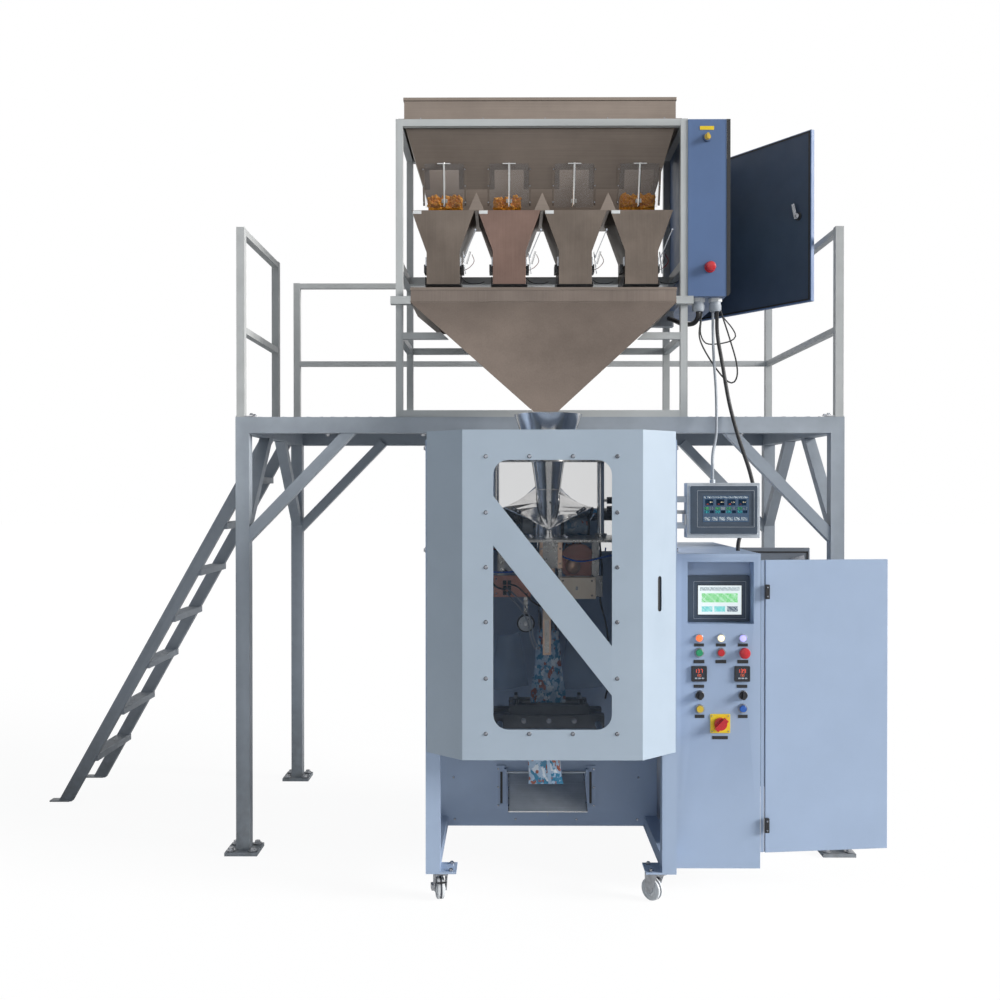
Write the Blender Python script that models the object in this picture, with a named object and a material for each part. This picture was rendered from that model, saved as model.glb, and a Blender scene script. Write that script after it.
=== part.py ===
"""Vertical form fill sealer with a four-head weigher, its platform, ladder and control cabinets."""

import math

import bmesh
import bpy
from mathutils import Matrix, Vector

# Frame while building: X to the right, Y away from the front, Z up, floor at Z = 0.
# X = 0 is the film tube's plane and Y = 0 the outside of the front cover. Metres.

GAP = 0.0003          # between pieces that touch
RUN = 0.0006          # between a shaft and its bore
SHEET = 0.0025        # folded sheet metal
CUT = 0.01            # how far a cutter runs past what it cuts
SMOOTH_ANGLE = math.radians(32)

# Bagging machine
BODY_HALF = 0.402     # half the width over the legs
BODY_FRONT = 0.107
BODY_BACK = 1.107
TUBE = 0.046          # frame tube, square
FOOT_Z = 0.108        # underside of the foot plates
MID_POST_Y = 0.560
BODY_TOP = 1.500
REAR_TOP = 1.200

# Front cover
COVER_HALF = 0.280
COVER_SIDE = 0.398
COVER_DEPTH = 0.1055
COVER_LOW = 0.501
COVER_HIGH = 1.527
WINDOW = (0.184, 0.596, 1.433, 0.046)   # half width, low, high, corner radius
BAND_WIDTH = 0.095
BAND_MIDDLE_Z = 1.0116
BAND_ANGLE = math.radians(51.7)
PANE = (0.222, 0.568, 1.459, 0.003)     # half width, low, high, thickness

# Film tube, collar and table
AXIS_Y = 0.360
TUBE_R = 0.0385
TUBE_WALL = 0.0015
COLLAR_R = 0.0405
TABLE_Z = 1.170
TABLE_T = 0.008
POST_X = 0.180
BRACKET_Z = 1.436
PULLEY_X, PULLEY_Z = 0.077, 0.887

# Jaws
JAW_Z = 0.590
JAW_OPEN = 0.030
ROD_X = 0.165
ROD_Z = 0.552
ROD_R = 0.010

# Casters
CHUTE_LUG = 0.1425    # inner face of the lugs the chute turns in
CASTER_X = 0.355
CASTER_FRONT_Y = 0.155
CASTER_REAR_Y = 1.055
WHEEL_R = 0.0375
WHEEL_W = 0.032
TRAIL = 0.032

# Control cabinet
CAB_LEFT, CAB_RIGHT = 0.420, 0.700
CAB_FRONT, CAB_BACK = 0.237, 1.058
CAB_LOW, CAB_HIGH = 0.083, 1.129
CAB_DOOR_LOW, CAB_DOOR_HIGH = 0.1355, 1.108
CAB_HINGE_X = 0.712
FRONT_LEAF, REAR_LEAF = 0.429, 0.376
FRONT_LEAF_OPEN, REAR_LEAF_OPEN = math.radians(83.4), math.radians(88.0)
RECESS = (0.458, 0.6775, 0.8955, 1.102, 0.060)

# Pendant screen
PENDANT = (0.4395, 0.676, 0.145, 0.200, 1.185, 1.363)
PENDANT_GLAND = (0.530, 0.185)

# Platform
DECK_LEFT, DECK_RIGHT = -1.141, 1.098
DECK_FRONT, DECK_BACK = 0.623, 1.719
DECK_Z = 1.610
DECK_T = 0.004
BEAM = 0.055
LEG = 0.050
BASE = 0.120
BASE_T = 0.012
BRACE_REACH = 0.40
GUARD_TOP, GUARD_MID = 2.309, 1.946
LADDER_FRONT, LADDER_BACK = 1.280, 1.700
LADDER_FOOT_X = -2.075
TREAD_RISE = 0.200
TREADS = int((DECK_Z - 0.12) / TREAD_RISE)

# Weigher
WF_LEFT, WF_RIGHT = -0.551, 0.524
WF_FRONT, WF_BACK = 0.634, 1.094
WF_TUBE = 0.026
WF_TOP = 2.707
STAND_TOP = 1.923
LANES = 4
PITCH = 0.2447
LANE_MIDDLE = -0.0105
BIN_WALL = 0.0025
BIN = ((2.796, -0.5225, 0.484, 0.663, 1.065),
       (2.700, -0.5225, 0.484, 0.663, 1.065),
       (2.390, -0.427, 0.399, 0.775, 0.980))
GATE_W, GATE_L, GATE_T = 0.147, 0.160, 0.003
GATE_Z = 2.490
POT_TOP, POT_KNEE, POT_LOW = 2.376, 2.225, 2.103
POT_TOP_W, POT_LOW_W = PITCH - 0.0117, PITCH / 2 - 0.00035
POT_FRONT, POT_BACK = 0.650, 0.900
FLAP_T = 0.003
HOPPER = ((2.084, -0.494, 0.479, 0.612, 0.925),
          (2.028, -0.494, 0.479, 0.612, 0.925),
          (1.607, -0.051, 0.0315, 0.325, 0.395))

# Weigher cabinet
WC = (0.5243, 0.666, 0.630, 1.220, 2.054, 2.703)
WC_DOOR_OPEN = math.radians(35)
GLANDS = ((0.571, 0.680), (0.634, 0.680))
GLAND_LOW = 2.006

SIDES = (-1, 1)

for leftover in list(bpy.data.objects):
    bpy.data.objects.remove(leftover, do_unlink=True)

assembly = bpy.data.objects.new("assembly", None)
bpy.context.scene.collection.objects.link(assembly)
nodes = []


def material(name, colour, metallic=0.0, roughness=0.5, alpha=1.0):
    made = bpy.data.materials.new(name)
    made.use_nodes = True
    shader = made.node_tree.nodes["Principled BSDF"]
    shader.inputs["Base Color"].default_value = (*colour, 1.0)
    shader.inputs["Metallic"].default_value = metallic
    shader.inputs["Roughness"].default_value = roughness
    shader.inputs["Alpha"].default_value = alpha
    made.diffuse_color = (*colour, alpha)
    return made


def raw(points, faces):
    """A closed mesh object facing out, from points and faces."""
    mesh = bpy.data.meshes.new("piece")
    mesh.from_pydata([tuple(p) for p in points], [], faces)
    work = bmesh.new()
    work.from_mesh(mesh)
    bmesh.ops.remove_doubles(work, verts=work.verts, dist=1e-6)
    bmesh.ops.recalc_face_normals(work, faces=work.faces)
    work.to_mesh(mesh)
    work.free()
    made = bpy.data.objects.new("piece", mesh)
    bpy.context.scene.collection.objects.link(made)
    return made


def stack(rings):
    """A solid through rings of points that match one for one, capped at both ends."""
    count = len(rings[0])
    points = [p for ring in rings for p in ring]
    faces = [tuple(range(count)), tuple(len(points) - 1 - i for i in range(count))]
    for level in range(len(rings) - 1):
        for i in range(count):
            j = (i + 1) % count
            low, high = level * count, (level + 1) * count
            faces.append((low + i, low + j, high + j, high + i))
    return raw(points, faces)


def box(x0, x1, y0, y1, z0, z1):
    flat = ((x0, y0), (x1, y0), (x1, y1), (x0, y1))
    return stack([[(x, y, z) for x, y in flat] for z in (z0, z1)])


def slab(middle, across, along, out, width, length, thick):
    """A box on three perpendicular directions, centred on middle."""
    across, along, out = (Vector(v).normalized() for v in (across, along, out))
    rings = []
    for k in (-0.5, 0.5):
        rings.append([Vector(middle) + across * (i * width) + along * (j * length) + out * (k * thick)
                      for i, j in ((-0.5, -0.5), (0.5, -0.5), (0.5, 0.5), (-0.5, 0.5))])
    return stack(rings)


def bar(start, end, across, width, thick):
    """A rectangular bar from start to end, with its width along across."""
    start, end = Vector(start), Vector(end)
    along = (end - start).normalized()
    return slab((start + end) / 2, across, along, along.cross(Vector(across)), width,
                (end - start).length, thick)


def prism(outline, axis, low, high):
    """An outline of two coordinates swept along the third, in x, y, z order."""
    place = {"x": lambda a, b, c: (c, a, b), "y": lambda a, b, c: (a, c, b), "z": lambda a, b, c: (a, b, c)}[axis]
    return stack([[place(a, b, c) for a, b in outline] for c in (low, high)])


def rod(start, end, radius, sides=16):
    """A round bar from start to end."""
    start, end = Vector(start), Vector(end)
    along = (end - start).normalized()
    across = along.orthogonal().normalized()
    other = along.cross(across)
    turn = [2 * math.pi * i / sides for i in range(sides)]
    circle = [across * (radius * math.cos(a)) + other * (radius * math.sin(a)) for a in turn]
    return stack([[start + c for c in circle], [end + c for c in circle]])


def turned(profile, middle, axis, sides=20):
    """A closed profile of (radius, distance along axis) turned about the axis through middle."""
    middle, axis = Vector(middle), Vector(axis).normalized()
    across = axis.orthogonal().normalized()
    other = axis.cross(across)
    points, faces = [], []
    for i in range(sides):
        angle = 2 * math.pi * i / sides
        out = across * math.cos(angle) + other * math.sin(angle)
        points += [middle + out * r + axis * h for r, h in profile]
    count = len(profile)
    for i in range(sides):
        here, there = i * count, (i + 1) % sides * count
        for a in range(count):
            b = (a + 1) % count
            if profile[a][0] > 0 or profile[b][0] > 0:
                faces.append((here + a, here + b, there + b, there + a))
    return raw(points, faces)


def level_rings(levels, inset=0.0, past=0.0):
    """Rectangles (z, left, right, front, back) as rings of points, the end ones moved past their levels."""
    made = []
    for i, (z, left, right, front, back) in enumerate(levels):
        z += past if i == 0 else -past if i == len(levels) - 1 else 0
        made.append([(left + inset, front + inset, z), (right - inset, front + inset, z),
                     (right - inset, back - inset, z), (left + inset, back - inset, z)])
    return made


def shell(levels, wall):
    """An open-ended duct through these rectangles, with this wall inside them: its body and its hollow."""
    return stack(level_rings(levels)), stack(level_rings(levels, wall, CUT))


def combine(pieces, cuts):
    """The union of the pieces less the cuts, as one mesh; the helpers are removed."""
    base = pieces[0]
    steps = [(p, "UNION") for p in pieces[1:]] + [(c, "DIFFERENCE") for c in cuts]
    for other, operation in steps:
        step = base.modifiers.new(operation.lower(), "BOOLEAN")
        step.operation = operation
        step.solver = "EXACT"
        step.object = other
    graph = bpy.context.evaluated_depsgraph_get()
    mesh = bpy.data.meshes.new_from_object(base.evaluated_get(graph))
    for helper in [base] + [other for other, _ in steps]:
        bpy.data.objects.remove(helper, do_unlink=True)
    return mesh


def node(name, look, pieces, cuts=(), origin=(0.0, 0.0, 0.0)):
    """One named sub-part, with its own origin: on its joint axis where it moves."""
    mesh = combine(list(pieces), list(cuts))
    mesh.name = name
    mesh.transform(Matrix.Translation(-Vector(origin)))
    mesh.materials.clear()
    mesh.materials.append(look)
    work = bmesh.new()
    work.from_mesh(mesh)
    for face in work.faces:
        face.smooth = True
        face.material_index = 0
    for edge in work.edges:
        edge.smooth = len(edge.link_faces) == 2 and edge.calc_face_angle(0) < SMOOTH_ANGLE
    work.to_mesh(mesh)
    work.free()
    made = bpy.data.objects.new(name, mesh)
    made.location = origin
    made.parent = assembly
    bpy.context.scene.collection.objects.link(made)
    nodes.append(made)
    return made


def turned_about(pieces, pivot, angle):
    """The pieces turned about the vertical line through pivot."""
    place = Matrix.Translation(Vector(pivot)) @ Matrix.Rotation(angle, 4, "Z") @ Matrix.Translation(-Vector(pivot))
    for piece in pieces:
        piece.data.transform(place)
    return pieces


def rounded(half, low, high, radius, steps=5):
    """A rounded rectangle's outline, centred across."""
    corners = ((half - radius, low + radius, -90), (half - radius, high - radius, 0),
               (radius - half, high - radius, 90), (radius - half, low + radius, 180))
    outline = []
    for x, z, start in corners:
        for i in range(steps + 1):
            angle = math.radians(start + 90 * i / steps)
            outline.append((x + radius * math.cos(angle), z + radius * math.sin(angle)))
    return outline


def lane_x(lane):
    return LANE_MIDDLE + (lane - (LANES - 1) / 2) * PITCH


frame_paint = material("frame_paint", (0.52, 0.57, 0.66), 0.0, 0.42)
white_paint = material("white_paint", (0.62, 0.65, 0.70), 0.0, 0.40)
slate_paint = material("slate_paint", (0.10, 0.14, 0.26), 0.0, 0.45)
navy_paint = material("navy_paint", (0.02, 0.03, 0.06), 0.0, 0.55)
brushed = material("brushed_steel", (0.36, 0.32, 0.28), 1.0, 0.38)
polished = material("polished_steel", (0.75, 0.74, 0.73), 1.0, 0.12)
zinc = material("zinc", (0.55, 0.56, 0.58), 1.0, 0.35)
clear = material("clear_acrylic", (0.85, 0.88, 0.90), 0.0, 0.05, 0.3)
black = material("black_plastic", (0.02, 0.02, 0.02), 0.0, 0.45)
tyre = material("white_tyre", (0.75, 0.75, 0.74), 0.0, 0.55)
film_look = material("film", (0.45, 0.60, 0.80), 0.0, 0.30)
green = material("green_plastic", (0.03, 0.35, 0.15), 0.0, 0.35)
red = material("red_plastic", (0.60, 0.02, 0.02), 0.0, 0.35)
yellow = material("yellow_plastic", (0.70, 0.50, 0.05), 0.0, 0.35)
blue = material("blue_plastic", (0.02, 0.12, 0.45), 0.0, 0.35)
cable_grey = material("grey_cable", (0.40, 0.42, 0.46), 0.0, 0.50)
cable_black = material("black_cable", (0.02, 0.02, 0.02), 0.0, 0.55)


# ---------------------------------------------------------------- platform

def base_plate(x, y):
    """A foot plate with four bolt holes about a leg's middle."""
    half = BASE / 2
    plate = box(x - half, x + half, y - half, y + half, 0.0, BASE_T + 0.001)
    bolt = half - 0.020
    holes = [rod((x + i * bolt, y + j * bolt, -CUT), (x + i * bolt, y + j * bolt, BASE_T + CUT), 0.007, 10)
             for i in SIDES for j in SIDES]
    return plate, holes


def platform():
    leg_x = (DECK_LEFT + LEG / 2, DECK_RIGHT - LEG / 2)
    leg_y = (DECK_FRONT + LEG / 2, DECK_BACK - LEG)
    under = DECK_Z - DECK_T
    beam_low = under - BEAM
    pieces = [box(DECK_LEFT, DECK_RIGHT, DECK_FRONT, DECK_BACK, under, DECK_Z)]
    for y in (DECK_FRONT, DECK_BACK - LEG):
        pieces.append(box(DECK_LEFT, DECK_RIGHT, y, y + LEG, beam_low, under + 0.001))
    for x in (DECK_LEFT, DECK_RIGHT - LEG):
        pieces.append(box(x, x + LEG, DECK_FRONT, DECK_BACK, beam_low, under + 0.001))
    for share in (0.36, 0.64):
        x = DECK_LEFT + share * (DECK_RIGHT - DECK_LEFT)
        pieces.append(box(x - LEG / 2, x + LEG / 2, DECK_FRONT + 0.01, DECK_BACK - 0.01, beam_low + 0.004,
                          under + 0.001))
    cuts = []
    for x, inward in zip(leg_x, (1, -1)):
        for y, ahead in zip(leg_y, (1, -1)):
            pieces.append(box(x - LEG / 2, x + LEG / 2, y - LEG / 2, y + LEG / 2, BASE_T, beam_low + 0.02))
            plate, holes = base_plate(x, y)
            pieces.append(plate)
            cuts += holes
            high, low = beam_low + 0.012, beam_low - BRACE_REACH
            pieces.append(bar((x, y, low), (x + inward * BRACE_REACH, y, high), (0, 1, 0), LEG - 0.008, 0.040))
            pieces.append(bar((x, y, low + 0.03), (x, y + ahead * (BRACE_REACH - 0.02), high), (1, 0, 0),
                              LEG - 0.008, 0.040))
    node("platform_frame", frame_paint, pieces, cuts)


def guards():
    foot = DECK_Z + GAP
    post = 0.030
    side_x = DECK_LEFT + 0.004
    left = [box(side_x, side_x + post, y, y + post, foot, GUARD_TOP)
            for y in (DECK_FRONT, 1.248 - post)]
    left += [box(side_x + 0.002, side_x + post - 0.002, DECK_FRONT + 0.001, 1.247, top - 0.025, top - 0.001)
             for top in (GUARD_TOP, GUARD_MID)]
    node("guard_rail_left", frame_paint, left)

    back_y = DECK_BACK - post - 0.004
    back_left, back_right = -1.137, DECK_RIGHT - 0.004
    back = [box(x, x + post, back_y, back_y + post, foot, GUARD_TOP)
            for x in (back_left, (back_left + back_right) / 2, back_right - post)]
    back += [box(back_left + 0.001, back_right - 0.001, back_y + 0.002, back_y + post - 0.002, top - 0.025, top - 0.001)
             for top in (GUARD_TOP, GUARD_MID)]
    right_x = DECK_RIGHT - post - 0.004
    back += [box(right_x, right_x + post, DECK_FRONT, DECK_FRONT + post, foot, GUARD_TOP)]
    back += [box(right_x + 0.003, right_x + post - 0.003, DECK_FRONT + 0.001, back_y + 0.010, top - 0.024, top - 0.002)
             for top in (GUARD_TOP, GUARD_MID)]
    node("guard_rail_back_and_right", frame_paint, back)


def ladder():
    edge = DECK_LEFT - GAP
    width = 0.057
    slope = (DECK_Z - 0.041) / (edge - LADDER_FOOT_X - width)
    top_x = LADDER_FOOT_X + DECK_Z / slope
    outline = ((LADDER_FOOT_X, 0.0), (LADDER_FOOT_X + width, 0.0), (edge, DECK_Z - 0.041), (edge, DECK_Z),
               (top_x, DECK_Z))
    rail = 0.030
    pieces = []
    for y in (LADDER_FRONT, LADDER_BACK - rail):
        pieces.append(prism(outline, "y", y, y + rail))
        pieces.append(box(LADDER_FOOT_X - 0.035, LADDER_FOOT_X + 0.05, y - 0.006, y + rail + 0.006, 0.0, 0.006))
    for step in range(1, TREADS + 1):
        z = step * TREAD_RISE
        x = LADDER_FOOT_X + width / 2 + z / slope
        pieces.append(box(x - 0.031, x + 0.031, LADDER_FRONT + 0.005, LADDER_BACK - 0.005, z - 0.026, z))
    node("access_ladder", frame_paint, pieces)


# ---------------------------------------------------------------- weigher

def weigher_frame():
    t = WF_TUBE
    foot = DECK_Z + GAP
    xs = (WF_LEFT, WF_RIGHT - t)
    ys = (WF_FRONT, WF_BACK - t)
    pieces = [box(x, x + t, y, y + t, foot, WF_TOP) for x in xs for y in ys]
    skin = 0.0006
    for low in (foot, STAND_TOP - t, WF_TOP - t):
        for y in ys:
            pieces.append(box(WF_LEFT + skin, WF_RIGHT - skin, y + skin, y + t - skin, low + skin, low + t - skin))
        for x in xs:
            pieces.append(box(x + skin, x + t - skin, WF_FRONT + skin, WF_BACK - skin, low + skin, low + t - skin))
    for x in xs:
        pieces.append(box(x + skin, x + t - skin, WF_FRONT + skin, WF_BACK - skin, 2.154, 2.186))
    # The bar that carries the load cells behind the weigh hoppers.
    pieces.append(box(WF_LEFT + 0.002, WF_RIGHT - 0.002, 0.930, 0.955, 2.1555, 2.1845))
    for lane in range(LANES):
        x = lane_x(lane)
        pieces.append(box(x - 0.020, x + 0.020, POT_BACK + 0.0165 + GAP, 0.935, 2.150, 2.190))
    # Short arms at the front that carry the collecting hopper's rim.
    arm = HOPPER[0]
    pieces.append(box(WF_LEFT - 0.018, arm[1] - GAP, arm[3], WF_FRONT + 0.014, 2.024, 2.052))
    pieces.append(box(arm[2] + GAP, WF_RIGHT + 0.018, arm[3], WF_FRONT + 0.014, 2.024, 2.052))
    around = [(z, left - GAP, right + GAP, front - GAP, back + GAP) for z, left, right, front, back in HOPPER]
    node("weigher_frame", white_paint, pieces, [stack(level_rings(around))])


def wall_at(z):
    """The Y of the bin's sloping front face at this height."""
    (_, _, _, high_y, _), (low_z, _, _, low_y, _) = BIN[1], BIN[2]
    return high_y + (BIN[1][0] - z) * (low_y - high_y) / (BIN[1][0] - low_z)


def bin_slope():
    """Up the bin's front face, and out of it."""
    rise = Vector((0, wall_at(2.6) - wall_at(2.5), 0.1)).normalized()
    return rise, Vector((0, -rise.z, rise.y))


def top_bin():
    body, hollow = shell(BIN, BIN_WALL)
    flange = 0.020
    _, left, right, front, back = BIN[0]
    low, high = WF_TOP + GAP, WF_TOP + 0.004
    bite = BIN_WALL - 0.001
    pieces = [body,
              box(left - flange, right + flange, front - flange, front + bite, low, high),
              box(left - flange, right + flange, back - bite, back + flange, low, high),
              box(left - flange, left + bite, front - flange, back + flange, low, high),
              box(right - bite, right + flange, front - flange, back + flange, low, high)]
    up, out = bin_slope()
    cuts = [hollow]
    for lane in range(LANES):
        x = lane_x(lane)
        cuts.append(box(x - 0.055, x + 0.055, wall_at(2.40) - 0.08, wall_at(2.40) + 0.03, 2.412, 2.545))
        for side in SIDES:
            middle = Vector((x + side * (GATE_W / 2 + 0.005), wall_at(GATE_Z), GATE_Z)) + out * 0.002
            pieces.append(slab(middle, (1, 0, 0), up, out, 0.007, GATE_L * 0.9, 0.007))
    # The hollow is cut before the guides go on, so that they stay outside it.
    shape = combine([pieces[0]] + pieces[1:5], [cuts[0]])
    main = bpy.data.objects.new("piece", shape)
    bpy.context.scene.collection.objects.link(main)
    node("top_bin", brushed, [main] + pieces[5:], cuts[1:])


def feed_gates():
    up, out = bin_slope()
    for lane in range(LANES):
        x = lane_x(lane)
        middle = Vector((x, wall_at(GATE_Z), GATE_Z)) + out * (GATE_T / 2 + GAP)
        ahead = out * (GATE_T / 2 + 0.003)
        low = middle - up * (GATE_L / 2 - 0.004) + ahead
        high = middle + up * (GATE_L / 2 + 0.004) + ahead
        plate = slab(middle, (1, 0, 0), up, out, GATE_W, GATE_L, GATE_T)
        lip = slab(middle + up * (GATE_L / 2 + 0.001) + out * 0.0075, (1, 0, 0), up, out, 0.050, 0.004, 0.013)
        node(f"feed_gate_{lane + 1}", clear, [plate, rod(low, high, 0.0045, 12), lip], origin=middle)


def feeder_bank():
    tray_low, tray_high = 2.3785, 2.3825
    left, right, back = BIN[2][1] - 0.014, BIN[2][2] + 0.014, BIN[2][4] + 0.010
    pieces = [box(left, right, 0.735, back, tray_low, tray_high)]
    walls = [left + 0.002 + i * (right - left - 0.004) / LANES for i in range(LANES + 1)]
    pieces += [box(x - 0.002, x + 0.002, 0.778, back - 0.001, tray_high - 0.001, BIN[2][0] - GAP) for x in walls]
    for lane in range(LANES - 1):
        x = lane_x(lane) + PITCH / 2
        roof = ((x - 0.030, tray_low + 0.0005), (x + 0.030, tray_low + 0.0005), (x, 2.446))
        pieces.append(prism(roof, "y", 0.668, 0.751))
    for lane in range(LANES):
        x = lane_x(lane)
        pieces.append(box(x - 0.038, x + 0.038, POT_BACK + 0.008, back - 0.002, 2.305, tray_low + 0.001))
    node("feeder_bank", brushed, pieces)


def pot_outline(x, inset=0.0, past=0.0):
    """A weigh hopper seen from the front."""
    top, low = POT_TOP_W / 2 - inset, POT_LOW_W / 2 - inset
    return ((x - low, POT_LOW - past), (x + low, POT_LOW - past), (x + low, POT_KNEE), (x + top, POT_TOP),
            (x + top, POT_TOP + past), (x - top, POT_TOP + past), (x - top, POT_TOP), (x - low, POT_KNEE))


def weigh_hoppers():
    wall = 0.002
    for lane in range(LANES):
        x = lane_x(lane)
        outline = [p for i, p in enumerate(pot_outline(x)) if i not in (4, 5)]
        body = prism(outline, "y", POT_FRONT, POT_BACK)
        hook = box(x - 0.030, x + 0.030, POT_BACK - 0.001, POT_BACK + 0.0165, 2.140, 2.230)
        hollow = prism(pot_outline(x, wall, CUT), "y", POT_FRONT + wall, POT_BACK - wall)
        node(f"weigh_hopper_{lane + 1}", brushed, [body, hook], [hollow])


def hopper_flaps():
    half = POT_LOW_W / 2
    low, high = POT_LOW - GAP - FLAP_T, POT_LOW - GAP
    for lane in range(LANES):
        x = lane_x(lane)
        axis_x, axis_z = x - half - 0.0045, 2.130
        front, back = POT_FRONT + 0.010, POT_BACK - 0.010
        plate = box(axis_x - 0.002, x + half + 0.0055, POT_FRONT + 0.003, POT_BACK - 0.003, low, high)
        arm = box(axis_x - 0.002, axis_x + 0.002, front, back, low + 0.0005, axis_z + 0.002)
        pad = box(x + half + 0.0035, x + half + 0.007, front, back, low + 0.0005, POT_LOW + 0.012)
        node(f"hopper_flap_{lane + 1}", black, [plate, arm, pad], origin=(axis_x, 0.0, axis_z))


def collecting_hopper():
    body, hollow = shell(HOPPER, BIN_WALL)
    node("collecting_hopper", brushed, [body], [hollow])


def weigher_cabinet():
    left, right, front, back, low, high = WC
    body = box(left, right, front, back, low, high)
    hollow = box(left + SHEET, right + CUT, front + 0.018, back - 0.018, low + 0.018, high - 0.018)
    pocket = box(left + SHEET, right - 0.004, front + SHEET, back - SHEET, low + SHEET, high - SHEET)
    pieces = [body]
    for x, y in GLANDS:
        pieces.append(rod((x, y, low + 0.002), (x, y, GLAND_LOW), 0.0165, 12))
    cuts = [pocket, hollow]
    for x, z, bore in ((0.594, 2.636, 0.0085), (0.605, 2.160, 0.0105)):
        pieces.append(rod((x, front + 0.001, z), (x, front - 0.006, z), 0.0155, 16))
        cuts.append(rod((x, front - CUT, z), (x, front - 0.0005, z), bore + RUN, 16))
    node("weigher_cabinet", slate_paint, pieces, cuts)

    pivot = (right + 0.002, back, 0.0)
    leaf = box(pivot[0] + 0.0006, pivot[0] + 0.019, front + 0.001, back - 0.001, low + 0.001, high - 0.001)
    node("weigher_cabinet_door", navy_paint, turned_about([leaf], pivot, WC_DOOR_OPEN),
         origin=(pivot[0], pivot[1], (low + high) / 2))


def knob_on(name, look, x, front, z, radius, grip):
    """A turning knob: a stem in its bezel, a round skirt and a grip bar."""
    skirt = rod((x, front - 0.0065, z), (x, front - 0.012, z), radius + 0.003, 16)
    stem = rod((x, front - 0.007, z), (x, front - 0.001, z), radius, 16)
    handle = box(x - 0.004, x + 0.004, front - grip, front - 0.011, z - radius - 0.002, z + radius + 0.002)
    node(name, look, [skirt, stem, handle], origin=(x, front, z))


def mushroom_on(name, x, front, z, head):
    """An emergency stop: a domed head on a stem in its bezel."""
    profile = ((0, -0.030), (head * 0.55, -0.0295), (head * 0.88, -0.027), (head, -0.022), (head, -0.016),
               (0.0105, -0.0135), (0.0105, -0.0045), (0, -0.0045))
    node(name, red, [turned(profile, (x, front, z), (0, 1, 0), 20)], origin=(x, front, z))


# ---------------------------------------------------------------- bagging machine

def machine_frame():
    out, t = BODY_HALF, TUBE
    skin = 0.0008
    pieces, cuts = [], []
    for side in SIDES:
        a, b = sorted((side * out, side * (out - t)))
        low = FOOT_Z + 0.003
        pieces += [box(a, b, BODY_FRONT, BODY_FRONT + t, low, BODY_TOP),
                   box(a, b, MID_POST_Y, MID_POST_Y + t, 0.14, BODY_TOP),
                   box(a, b, BODY_BACK - t, BODY_BACK, low, REAR_TOP)]
        a, b = a + skin, b - skin
        for z0, z1, y1 in ((0.112, 0.160, BODY_BACK - 0.005), (TABLE_Z - 0.046, TABLE_Z - GAP, MID_POST_Y + 0.03),
                           (BODY_TOP - 0.047, BODY_TOP - skin, MID_POST_Y + 0.03),
                           (REAR_TOP - 0.047, REAR_TOP - skin, BODY_BACK - 0.005)):
            start = BODY_FRONT + 0.01 if z0 < REAR_TOP - 0.048 or z0 > REAR_TOP else MID_POST_Y + 0.01
            pieces.append(box(a, b, start, y1, z0, z1))
        # Side skins close the working space above the cover's lower edge.
        face = side * (out - 0.004)
        inner = side * (out - 0.0065)
        a, b = sorted((face, inner))
        pieces.append(box(a, b, BODY_FRONT + 0.01, MID_POST_Y + 0.01, 0.510, BODY_TOP - 0.01))
        # Foot plates over the casters.
        for y in (CASTER_FRONT_Y, CASTER_REAR_Y):
            a, b = sorted((side * out, side * (out - 0.098)))
            pieces.append(box(a, b, y - 0.048, y + 0.048, FOOT_Z, FOOT_Z + 0.006))
        # Uprights for the film reel's shaft.
        a, b = sorted((side * (out - t + 0.004), side * (out - t - 0.010)))
        pieces.append(box(a, b, 0.820, 0.880, 0.150, 0.470))
    for z in (0.125, BODY_TOP - 0.046):
        pieces.append(box(skin - out, out - skin, MID_POST_Y + 0.004, MID_POST_Y + 0.042, z, z + 0.044))
    pieces.append(box(skin - out, out - skin, BODY_BACK - 0.042, BODY_BACK - 0.004, 0.114, 0.158))
    pieces.append(box(skin - out, out - skin, BODY_FRONT + 0.004, BODY_FRONT + 0.042, BODY_TOP - 0.044, BODY_TOP - 0.002))
    # The back wall, and the slotted brackets of the chute on it.
    pieces.append(box(-0.398, 0.398, MID_POST_Y - 0.002, MID_POST_Y + 0.002, 0.124, 1.120))
    for side in SIDES:
        a, b = sorted((side * CHUTE_LUG, side * 0.180))
        pieces.append(box(a, b, MID_POST_Y - 0.008, MID_POST_Y + 0.001, 0.188, 0.344))
        pieces.append(box(*sorted((side * CHUTE_LUG, side * 0.150)), 0.528, MID_POST_Y - 0.007, 0.312, 0.336))
        middle = side * 0.1612
        cuts.append(box(middle - 0.0045, middle + 0.0045, MID_POST_Y - 0.02, MID_POST_Y - 0.0025, 0.206, 0.322))
    node("machine_frame", frame_paint, pieces + jaw_guides(), cuts)


def cover_profile(inset):
    """The cover's section from above, this far inside its outer face."""
    lean = math.atan2(COVER_DEPTH, COVER_SIDE - COVER_HALF)
    corner = inset * math.tan(lean / 2)
    back = COVER_DEPTH - inset
    side = COVER_SIDE - inset / math.sin(lean) - inset / math.tan(lean)
    return [(-0.376, back), (-side, back), (-COVER_HALF + corner, inset), (COVER_HALF - corner, inset),
            (side, back), (0.376, back)]


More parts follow.
